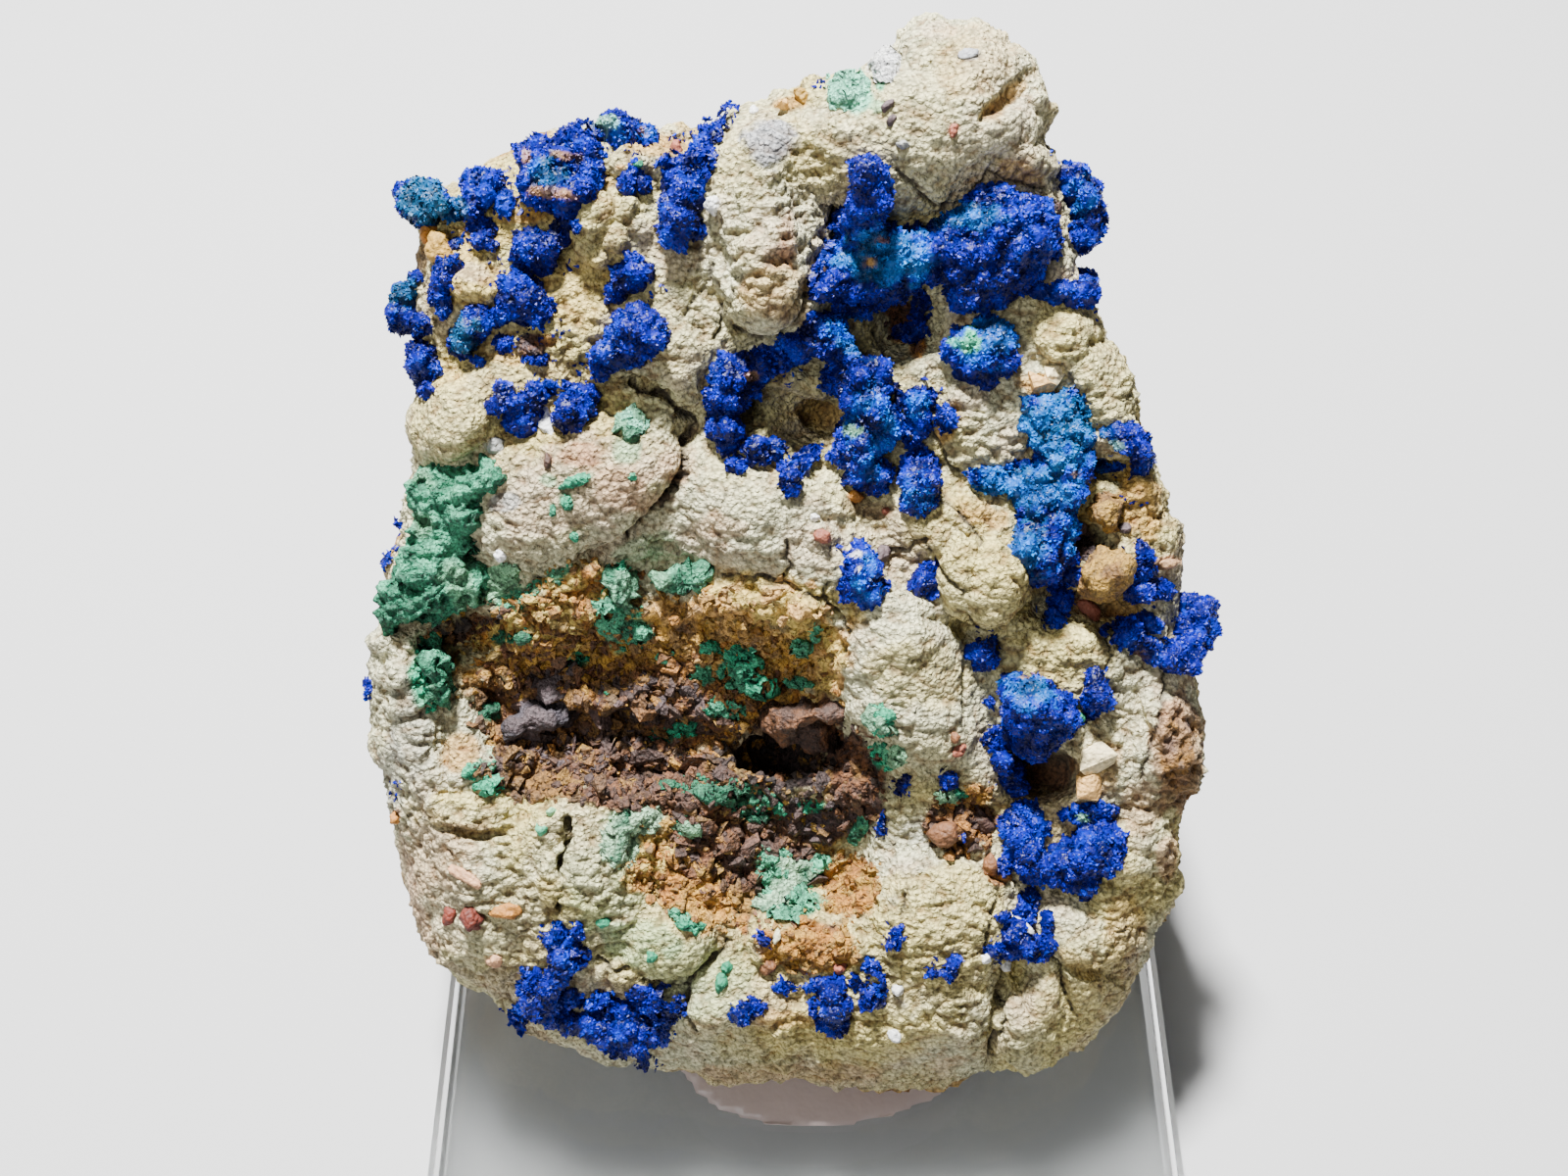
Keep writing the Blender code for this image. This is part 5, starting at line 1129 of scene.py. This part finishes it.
def make_matrix(finish):
    """The rock in pieces, the upper and lower face and the back, from one fine mesh."""
    mesh, (facing, gap, iron, hollow_shade) = carved_matrix()
    points, normals, triangles = vectors(mesh), vectors(mesh, "normal"), corners(mesh)
    px, py = seen_at(points)
    tint = matrix_tint(points, facing, px, py, gap, iron, hollow_shade)
    front = facing[triangles].mean(axis=1) > 0.5
    upper = py[triangles].mean(axis=1) < FACE_SPLIT
    for name, chosen in (
        ("matrix_face_upper", front & upper),
        ("matrix_face_lower", front & ~upper),
        ("matrix_back", ~front),
    ):
        used, renumbered = np.unique(triangles[chosen], return_inverse=True)
        part = mesh_of(name, points[used], renumbered.reshape(-1, 3), tint[used], smooth=True)
        part.normals_split_custom_set_from_vertices(normals[used].tolist())
        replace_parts(add_piece(name, part, finish), "matrix")
    return BVHTree.FromPolygons(points.tolist(), triangles.tolist())


def land(surface, px, py):
    """Where the camera's sight line meets the rock, and the rock's normal there."""
    spot, normal, _, _ = surface.ray_cast(Vector(EYE), sight_line(px, py))
    return spot, normal


def in_ellipse(spot, along, across):
    """The picture point that lies at these shares of an ellipse's half sizes."""
    centre_x, centre_y, half_x, half_y, turn = spot
    cos_turn, sin_turn = math.cos(math.radians(turn)), math.sin(math.radians(turn))
    px = centre_x + along * half_x * cos_turn - across * half_y * sin_turn
    py = centre_y + along * half_x * sin_turn + across * half_y * cos_turn
    return px, py


def scatter(surface, spot, count, rng):
    """Random places on the rock inside an ellipse of the picture, with the rock's normals."""
    places = []
    for _ in range(count):
        reach, around = math.sqrt(rng.random()) * 1.05, rng.random() * 2 * math.pi
        px, py = in_ellipse(spot, reach * math.cos(around), reach * math.sin(around))
        place, normal = land(surface, px, py)
        if place:
            places.append((place, normal))
    return places


def points_and_faces(bm):
    """A bmesh as arrays of points and triangles; the bmesh is freed."""
    bm.verts.index_update()
    points = np.array([v.co for v in bm.verts])
    faces = np.array([[v.index for v in f.verts] for f in bm.faces])
    bm.free()
    return points, faces


def hull_template(rng, count):
    """A rough angular stone about 2 across, as points and triangles."""
    bm = bmesh.new()
    for _ in range(count):
        direction = rng.normal(size=3)
        bm.verts.new(Vector(direction / np.linalg.norm(direction) * rng.uniform(0.72, 1.12)))
    bmesh.ops.convex_hull(bm, input=bm.verts)
    loose = [v for v in bm.verts if not v.link_faces]
    bmesh.ops.delete(bm, geom=loose, context="VERTS")
    bmesh.ops.triangulate(bm, faces=bm.faces)
    return points_and_faces(bm)


def wedge_crystal(width, thickness, skew):
    """A tiny crystal along +Z from 0 to 1: a wedge with a chisel edge."""
    half, thin = width / 2, thickness / 2
    points = [(half, thin, 0), (-half, thin, 0), (-half, -thin, 0), (half, -thin, 0)]
    points += [(half * 0.6, skew, 1), (-half * 0.6, skew, 0.92)]
    faces = [(0, 1, 5), (0, 5, 4), (2, 3, 4), (2, 4, 5), (1, 2, 5), (3, 0, 4)]
    return np.array(points, float), np.array(faces)


def frames_along(normals, lean, rng):
    """A random turning frame on each normal, leaning off it by up to about the lean."""
    leaning = normals + lean * rng.normal(size=normals.shape)
    leaning /= np.linalg.norm(leaning, axis=1, keepdims=True)
    side = np.cross(leaning, rng.normal(size=normals.shape))
    side /= np.linalg.norm(side, axis=1, keepdims=True)
    return np.stack([side, np.cross(leaning, side), leaning], axis=2)


def strew(templates, places, turns, sizes, tints, rng):
    """Copies of the templates joined into arrays of points, triangles and colours."""
    picks = rng.integers(len(templates), size=len(places))
    all_points, all_faces, all_tints, start = [], [], [], 0
    for number, (points, faces) in enumerate(templates):
        chosen = picks == number
        if not chosen.any():
            continue
        scaled = points[None] * sizes[chosen][:, None, :]
        placed = np.einsum("nij,npj->npi", turns[chosen], scaled) + places[chosen][:, None, :]
        copies = len(placed)
        all_points.append(placed.reshape(-1, 3))
        steps = start + np.arange(copies) * len(points)
        all_faces.append((faces[None] + steps[:, None, None]).reshape(-1, 3))
        all_tints.append(np.repeat(tints[chosen], len(points), axis=0))
        start += copies * len(points)
    return np.concatenate(all_points), np.concatenate(all_faces), np.concatenate(all_tints)


def strewn_piece(name, templates, stones, lean, finish, rng, smooth=False):
    """A piece of stones strewn over the rock: stones are (place, normal, size, colour)."""
    places, normals, sizes, tints = (np.array(column) for column in zip(*stones))
    turns = frames_along(normals, lean, rng)
    points, faces, tint = strew(templates, places, turns, sizes, tints, rng)
    add_piece(name, mesh_of(name, points, faces, tint, smooth=smooth), finish)


def make_crumbs(surface, finish, rng):
    """Crumbs of iron oxide strewn over the hollows, half sunk in them."""
    templates = [hull_template(rng, 11) for _ in range(20)]
    stones = []
    for field in IRON:
        for place, normal in scatter(surface, field[2:7], field[7], rng):
            size = field[8] * min(rng.lognormal(-0.6, 0.45), 1.1)
            sunk = place - 0.2 * size * MM * normal
            sizes = size * MM * rng.uniform(0.6, 1.25, 3)
            mood = np.array([rng.normal(0.5, 0.5)])
            tint = iron_colour(field, mood)[0] * rng.uniform(0.65, 1.25)
            stray = colour(("purple", "ochre", "chocolate")[rng.integers(3)])
            tint = tint + (stray - tint) * rng.uniform(0, 0.5) ** 1.5
            stones.append((sunk, normal, sizes, tint))
    strewn_piece("iron_crumbs", templates, stones, 1.0, finish, rng)


def make_green_crumbs(surface, finish, rng):
    """Little green knobs of malachite on and round the iron oxide."""
    templates = [hull_template(rng, 16) for _ in range(8)]
    stones = []
    for field in GREENS:
        for place, normal in scatter(surface, field[1:6], field[6], rng):
            size = field[7] * rng.lognormal(-0.75, 0.35)
            sizes = size * MM * rng.uniform(0.75, 1.2, 3)
            stones.append((place, normal, sizes, colour(field[0]) * rng.uniform(0.7, 1.3)))
    strewn_piece("malachite_crumbs", templates, stones, 0.6, finish, rng, smooth=True)


def set_in_clay(shape, entry, surface):
    """A shape about 2 across, stretched to an entry's ellipse and rise and set on the rock."""
    _, px, py, half_x, half_y, turn, rise = entry
    place, normal = land(surface, px, py)
    scale = (place - Vector(EYE)).length / FOCAL
    across = Vector(RIGHTWARD).cross(normal).normalized()
    along = normal.cross(across).normalized()
    tilt = math.radians(-turn)
    first = along * math.cos(tilt) - across * math.sin(tilt)
    local = shape * np.array((half_x * scale, half_y * scale, rise * MM))
    return local @ np.array([first, normal.cross(first), normal]) + np.array(place)


def ball_template():
    """A round ball of radius 1, as points and triangles."""
    bm = bmesh.new()
    bmesh.ops.create_icosphere(bm, subdivisions=3, radius=1)
    return points_and_faces(bm)


def make_inclusions(surface, finish, rng):
    """Pebbles, chips, beads and angular crystal fragments set in the clay."""
    ball, ball_faces = ball_template()
    lump_size, lump_seed = NOISES["pebble"]
    parts, tints = [], []
    for number, entry in enumerate(INCLUSIONS):
        lumps = fractal(ball * MM + number, lump_size, lump_seed + number)
        lumpy = ball * (1 + 0.34 * lumps)[:, None]
        parts.append((set_in_clay(lumpy, entry, surface), ball_faces))
        tints.append(np.tile(colour(entry[0]) * rng.uniform(0.85, 1.15), (len(ball), 1)))
    for entry in FRAGMENTS:
        points, faces = hull_template(rng, 15)
        split = points[faces].reshape(-1, 3)
        parts.append((set_in_clay(split, entry, surface), np.arange(len(split)).reshape(-1, 3)))
        tints.append(np.tile(colour(entry[0]), (len(split), 1)))
    points, faces = joined(parts)
    mesh = mesh_of("inclusions", points, faces, np.concatenate(tints), smooth=True)
    add_piece("inclusions", mesh, finish)


def rooted(points, normals, surface, reach, sink):
    """Points of a growth's foot pushed into the rock, so that no gap shows under it."""
    moved = points.copy()
    for number, (point, normal) in enumerate(zip(points, normals)):
        spot, away, _, distance = surface.find_nearest(Vector(point))
        below = Vector(normal).dot(away) < 0.1
        if below and distance < reach * MM:
            moved[number] = np.array(spot - away * sink * MM)
    return moved


def ball_relief(points, balls):
    """Height in millimetres of the little balls of each size."""
    return [height * (0.62 - grains(points, size, BALL_SEED)[0]) for size, height in balls]


def growth_core(node, surface, balls, roughen):
    """A CAD growth's shape made fine and lumpy, with its foot in the rock."""
    mesh = refined(node, 1, GROWTH_VOXEL)
    points, normals = vectors(mesh), vectors(mesh, "normal")
    swell = roughen * fractal(points, *NOISES["growth"])
    for relief in ball_relief(points, balls):
        swell += relief
    moved = points + normals * (swell * MM)[:, None]
    set_vectors(mesh, rooted(moved, normals, surface, ROOT_REACH, ROOT_DEPTH))
    return mesh


def crust_grid(surface, spot, spacing):
    """A grid of places on the rock inside an ellipse of the picture: the number of each by its
    row and column, and each one's place, normal and distance from the middle."""
    steps_x = max(3, int(math.ceil(spot[2] / spacing)))
    steps_y = max(3, int(math.ceil(spot[3] / spacing)))
    numbers, points, normals, reaches = {}, [], [], []
    for n in range(-steps_x, steps_x + 1):
        for m in range(-steps_y, steps_y + 1):
            along, across = n / steps_x, m / steps_y
            reach = math.hypot(along, across)
            if reach >= CRUST_REACH:
                continue
            place, normal = land(surface, *in_ellipse(spot, along, across))
            if place:
                numbers[n, m] = len(points)
                points.append(place)
                normals.append(normal)
                reaches.append(min(reach, 1.0))
    return numbers, np.array(points), np.array(normals), np.array(reaches)


def crust_faces(numbers, points, shown):
    """Two triangles for each square of the grid that shows and isn't stretched over an edge."""
    faces = []
    for (n, m), first in numbers.items():
        loop = [first] + [numbers.get(c) for c in ((n + 1, m), (n + 1, m + 1), (n, m + 1))]
        if None in loop:
            continue
        a, b, c, d = loop
        spread = max(np.linalg.norm(points[a] - points[c]), np.linalg.norm(points[b] - points[d]))
        if shown[loop].any() and spread < CRUST_STRETCH:
            faces += [(a, c, b), (a, d, c)]
    return np.array(faces)


def crust(surface, spot, rise, spacing, balls):
    """A low lumpy mound that follows the rock inside an ellipse of the picture."""
    numbers, points, normals, reaches = crust_grid(surface, spot, spacing)
    if not numbers:
        return None
    ragged = np.clip(1 - reaches + 0.32 * fractal(points, *NOISES["crust_edge"]), 0, 1)
    swell = rise * np.sqrt(1 - (1 - ragged) ** 2)
    for relief in ball_relief(points, balls):
        swell += relief * np.clip(ragged * 3, 0, 1)
    swell = np.where(ragged > 0, swell, -CRUST_SINK)
    raised = points + normals * (swell * MM)[:, None]
    faces = crust_faces(numbers, raised, ragged > 0)
    return (raised, faces) if len(faces) else None


def joined(parts):
    """Several sets of points and triangles as one."""
    starts = np.cumsum([0] + [len(points) for points, _ in parts])
    faces = [faces + start for (_, faces), start in zip(parts, starts)]
    return np.concatenate([points for points, _ in parts]), np.concatenate(faces)


def azurite_tint(points, mood):
    """Blue of the azurite, from violet to teal, with each little ball in its own tone and painted
    shade in the creases between the balls.
    """
    px, py = seen_at(points)
    teal = np.zeros(len(px))
    for spot in TEAL_SPOTS:
        teal = np.maximum(teal, smooth_step(ellipse_depth(px, py, *spot) * 2.5))
    deep, violet, bright, cyan = (np.array(c) for c in AZURITE_BLUES)
    ball = value_noise(points, *NOISES["azurite_tone"])
    tint = np.broadcast_to(deep, (len(px), 3))
    tint = blend(tint, violet, smooth_step(0.75 + mood + 0.6 * ball))
    brightness = smooth_step(0.2 + mood + 0.9 * ball + 0.5 * teal)
    tint = blend(tint, bright, brightness * (0.55 + 0.45 * teal))
    tint = blend(tint, cyan, teal * smooth_step(0.25 + mood + 0.9 * ball))
    ragged = fractal(points, *NOISES["weathering"])
    for name, strength, *spot in AZURITE_ACCENTS:
        weight = smooth_step((ellipse_depth(px, py, *spot) + 0.5 * ragged) / 0.3)
        tint = blend(tint, colour(name), strength * weight)
    # painted shade: darker towards the creases between the little balls
    near, _ = grains(points, BALL_SIZE, BALL_SEED)
    return tint * (1 - 0.68 * smooth_step((near - 0.44) * 3.2))[:, None]


def surface_samples(points, triangles, spacing, rng):
    """Random points spread evenly over triangles, with their normals."""
    a, b, c = (points[triangles[:, n]] for n in range(3))
    cross = np.cross(b - a, c - a)
    areas = np.linalg.norm(cross, axis=1) / 2
    count = int(areas.sum() / (spacing * MM) ** 2)
    picks = rng.choice(len(triangles), size=count, p=areas / areas.sum())
    u, v = rng.random(count), rng.random(count)
    folded = u + v > 1
    u, v = np.where(folded, 1 - u, u), np.where(folded, 1 - v, v)
    places = a[picks] + u[:, None] * (b - a)[picks] + v[:, None] * (c - a)[picks]
    return places, cross[picks] / np.linalg.norm(cross[picks], axis=1, keepdims=True)


def above_rock(places, normals, surface):
    """Which samples stand clear of the rock and don't look into it."""
    keep = []
    for place, normal in zip(places, normals):
        spot, away, _, distance = surface.find_nearest(Vector(place))
        outside = (Vector(place) - spot).dot(away) > 0
        keep.append(outside and (distance > 0.35 * MM or Vector(normal).dot(away) > 0.2))
    return np.array(keep)


def bristle(places, normals, wide, tall, lean, rng):
    """Crystals standing on the places given, as points, triangles and colours."""
    mood = rng.normal(0, 0.26, len(places))
    tints = azurite_tint(places, mood) * rng.lognormal(0, 0.22, len(places))[:, None]
    turns = frames_along(normals, lean, rng)
    widths = wide * rng.lognormal(0, 0.26, len(places)) * MM
    sizes = np.stack([widths, widths, tall * rng.lognormal(0, 0.25, len(places)) * MM], axis=1)
    roots = places - normals * (0.45 * tall * MM)
    return strew([wedge_crystal(*blade) for blade in BLADES], roots, turns, sizes, tints, rng)


def druse_piece(name, core_points, core_faces, surface, wide, core_mood, finish, rng):
    """A piece of azurite: the lumpy core given, bristling with tiny bladed crystals."""
    places, normals = surface_samples(core_points, core_faces, CRYSTAL_SPACING, rng)
    keep = above_rock(places, normals, surface)
    points, faces, tint = bristle(
        places[keep], normals[keep], wide, CRYSTAL_HEIGHT, CRYSTAL_LEAN, rng
    )
    # painted shade: the core under the crystals has a lower mood and CORE_SHADE, so it is darker
    # than they
    core_tint = azurite_tint(core_points, np.full(len(core_points), core_mood)) * CORE_SHADE
    whole = mesh_of(
        name,
        np.concatenate([points, core_points]),
        np.concatenate([faces, core_faces + len(points)]),
        np.concatenate([tint, core_tint]),
    )
    return add_piece(name, whole, finish)


def make_azurite(node, surface, finish, rng):
    """One druse: little balls grown together, under tiny crystals."""
    mesh = growth_core(node, surface, AZURITE_BALLS, 0.30)
    piece = druse_piece(
        node + "_crystals", vectors(mesh), corners(mesh), surface, DRUSE_WIDTH, -0.35, finish, rng
    )
    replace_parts(piece, node)


def make_tufts(surface, finish, rng):
    """Low azurite crusts round the druses, bristling like them."""
    patches = [crust(surface, spot, rise, CRUST_STEP, TUFT_BALLS) for *spot, rise in TUFTS]
    points, faces = joined([patch for patch in patches if patch])
    druse_piece("azurite_tufts", points, faces, surface, TUFT_WIDTH, -0.25, finish, rng)


def make_green_crusts(surface, finish):
    """Thin malachite crusts on the clay and the iron oxide."""
    parts, tints = [], []
    for name, *spot, rise in GREEN_CRUSTS:
        patch = crust(surface, spot, rise, CRUST_STEP, GREEN_CRUST_BALLS)
        if patch:
            parts.append(patch)
            points, _ = patch
            base = np.broadcast_to(colour(name), (len(points), 3))
            mood = fractal(points, *NOISES["crust_tone"])
            shade = blend(base, base * 0.6, smooth_step(-mood * 1.8 - 0.2))
            light = base * 1.2 + 0.15 * colour("celadon")
            tints.append(blend(shade, light, 0.6 * smooth_step(mood * 2 - 0.5)))
    points, faces = joined(parts)
    mesh = mesh_of("malachite_crusts", points, faces, np.concatenate(tints), smooth=True)
    add_piece("malachite_crusts", mesh, finish)


def make_sprinkles(surface, finish, rng):
    """Single azurite crystals and little tufts dusted over the clay."""
    landed = []
    for *spot, count in SPRINKLES:
        landed += scatter(surface, (*spot, 0), count, rng)
    places, normals = (np.array(column) for column in zip(*landed))
    points, faces, tint = bristle(
        places, normals, SPRINKLE_WIDTH, SPRINKLE_HEIGHT, SPRINKLE_LEAN, rng
    )
    mesh = mesh_of("azurite_sprinkles", points, faces, tint)
    add_piece("azurite_sprinkles", mesh, finish)


def thinned(mesh, surface, share):
    """Lowers a growth's points towards the rock, each by its share of its height."""
    points = vectors(mesh)
    for number, point in enumerate(points):
        spot, _, _, _ = surface.find_nearest(Vector(point))
        points[number] = point + (np.array(spot) - point) * share[number]
    set_vectors(mesh, points)


def malachite_tint(points, holes, paleness):
    """Green of the malachite with painted shade in its holes, nearly white-green where it is pale.
    """
    # painted shade: darker in the pitted holes
    mood = fractal(points, *NOISES["malachite_tone"]) - 0.8 * holes
    mist = smooth_step(fractal(points, *NOISES["mist"]) * 2 - 0.7)
    tint = np.broadcast_to(colour("green"), (len(points), 3))
    tint = blend(tint, colour("pale_green"), smooth_step(0.35 + mood))
    tint = blend(tint, colour("deep_green"), 0.8 * smooth_step(-mood * 1.6 - 0.25))
    tint = blend(tint, colour("mist_green"), 0.5 * mist)
    return blend(tint, colour("celadon"), paleness * smooth_step(0.75 + 0.8 * mood))


def make_malachite(node, surface, finish):
    """One crust of knobbly malachite."""
    paleness, thinness = PALE_CRUSTS.get(node, (0, 0))
    rough = 1 - 0.6 * paleness
    balls = [(1.6, 0.9 * rough), (0.9, 0.9 * rough), (0.5, 0.6)]
    mesh = growth_core(node, surface, balls, 0.35)
    points, normals = vectors(mesh), vectors(mesh, "normal")
    holes = rough * smooth_step(value_noise(points, *NOISES["holes"]) * 3 - 1.2)
    points -= normals * (0.9 * MM * holes)[:, None]
    set_vectors(mesh, points)
    set_tint(mesh, malachite_tint(points, holes, paleness))
    share = np.full(len(points), float(thinness))
    if node == "malachite_bead_pair":
        parted = smooth_step(ellipse_depth(*seen_at(points), *BEAD_GAP) * 2)
        share = np.maximum(share, BEAD_GAP_SHARE * parted)
    if share.any():
        thinned(mesh, surface, share)
    mesh.shade_smooth()
    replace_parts(add_piece(node + "_crust", mesh, finish), node)


def make_nugget(node, surface, finish, dark, light, lightness):
    """One nugget of iron oxide, pitted and crumbly."""
    mesh = growth_core(node, surface, NUGGET_BALLS, 0.6)
    points = vectors(mesh)
    mood = smooth_step(lightness + 1.3 * fractal(points, *NOISES["nugget_tone"]))
    tint = blend(np.broadcast_to(colour(dark), (len(points), 3)), colour(light), mood)
    set_tint(mesh, tint)
    mesh.shade_smooth()
    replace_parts(add_piece(node + "_surface", mesh, finish), node)


def make_base_finish():
    """Polished clear acrylic."""
    material, _, shader = new_finish("clear_acrylic", 0.02, 1.49)
    shader.inputs["Base Color"].default_value = (0.98, 0.995, 0.99, 1)
    shader.inputs["Transmission Weight"].default_value = 1.0
    return material


def make_pad_finish():
    """Waxy translucent adhesive."""
    material, tree, shader = new_finish("adhesive_wax", 0.28, 1.48)
    shader.inputs["Base Color"].default_value = (0.80, 0.66, 0.62, 1)
    shader.inputs["Transmission Weight"].default_value = 0.45
    bump = tree.nodes.new("ShaderNodeBump")
    bump.inputs["Distance"].default_value = 0.3 * MM
    tree.links.new(noise_node(tree, 3.0, 3).outputs["Fac"], bump.inputs["Height"])
    tree.links.new(bump.outputs["Normal"], shader.inputs["Normal"])
    return material


def make_pad(finish):
    """The adhesive pad with a soft uneven edge."""
    mesh = refined("adhesive_pad", 2, PAD_VOXEL)
    points, normals = vectors(mesh), vectors(mesh, "normal")
    sideways = 1 - np.abs(normals[:, 2])
    swell = 0.5 * MM * sideways * fractal(points, *NOISES["pad_edge"])
    moved = points + normals * swell[:, None]
    set_vectors(mesh, moved)
    mesh.shade_smooth()
    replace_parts(add_piece("adhesive", mesh, finish), "adhesive_pad")


def make_floor():
    """A plain pale floor."""
    bpy.ops.mesh.primitive_plane_add(size=FLOOR_SIZE)
    floor = bpy.context.object
    floor.name = "floor"
    floor.location.z = -FLOOR_GAP
    paper, _, shader = new_finish("pale_floor", 0.85)
    shader.inputs["Base Color"].default_value = FLOOR_COLOUR
    floor.data.materials.append(paper)


def make_lights():
    """Plain soft studio light."""
    world = bpy.context.scene.world or bpy.data.worlds.new("studio")
    bpy.context.scene.world = world
    world.use_nodes = True
    world.node_tree.nodes["Background"].inputs["Color"].default_value = SKY_COLOUR
    world.node_tree.nodes["Background"].inputs["Strength"].default_value = SKY_STRENGTH
    for name, place, size, power in LAMPS:
        light = bpy.data.lights.new(name, "AREA")
        light.size = size
        light.energy = power
        lamp = bpy.data.objects.new(name, light)
        lamp.location = place
        aim = LIT_POINT - Vector(place)
        lamp.rotation_euler = aim.to_track_quat("-Z", "Y").to_euler()
        bpy.context.scene.collection.objects.link(lamp)


def make_camera():
    """The camera where the photographer stood."""
    camera = bpy.data.objects.new("camera", bpy.data.cameras.new("camera"))
    camera.data.lens = LENS
    camera.data.sensor_width = SENSOR
    camera.data.clip_start = MM
    camera.location = EYE
    camera.rotation_euler = (math.pi / 2 - VIEW_PITCH, 0, 0)
    bpy.context.scene.collection.objects.link(camera)
    bpy.context.scene.camera = camera


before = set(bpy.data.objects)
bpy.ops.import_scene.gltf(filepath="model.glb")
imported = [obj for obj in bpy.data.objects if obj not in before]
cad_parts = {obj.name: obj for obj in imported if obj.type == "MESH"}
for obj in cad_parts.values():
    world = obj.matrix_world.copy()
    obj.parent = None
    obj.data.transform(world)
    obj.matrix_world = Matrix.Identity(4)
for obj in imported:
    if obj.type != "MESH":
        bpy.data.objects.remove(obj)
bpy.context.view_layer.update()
finishes = {name: tinted_finish(name, **values) for name, values in FINISHES.items()}
green, blue = finishes["malachite"], finishes["azurite"]

rock = make_matrix(finishes["clay"])
make_crumbs(rock, finishes["iron_oxide"], np.random.default_rng(SEED))
make_green_crumbs(rock, green, np.random.default_rng(SEED + 1))
make_inclusions(rock, finishes["inclusion"], np.random.default_rng(SEED + 2))
make_sprinkles(rock, blue, np.random.default_rng(SEED + 3))
make_tufts(rock, blue, np.random.default_rng(SEED + 4))
make_green_crusts(rock, green)
for number, node in enumerate(sorted(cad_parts)):
    if node.startswith("azurite"):
        make_azurite(node, rock, blue, np.random.default_rng(SEED + 10 + number))
    elif node.startswith("malachite"):
        make_malachite(node, rock, green)
    for start, look in NUGGETS.items():
        if node.startswith(start):
            make_nugget(node, rock, finishes["iron_oxide"], *look)

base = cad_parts["display_base"].data
base.materials.clear()
base.materials.append(make_base_finish())
make_pad(make_pad_finish())
make_floor()
make_lights()
make_camera()
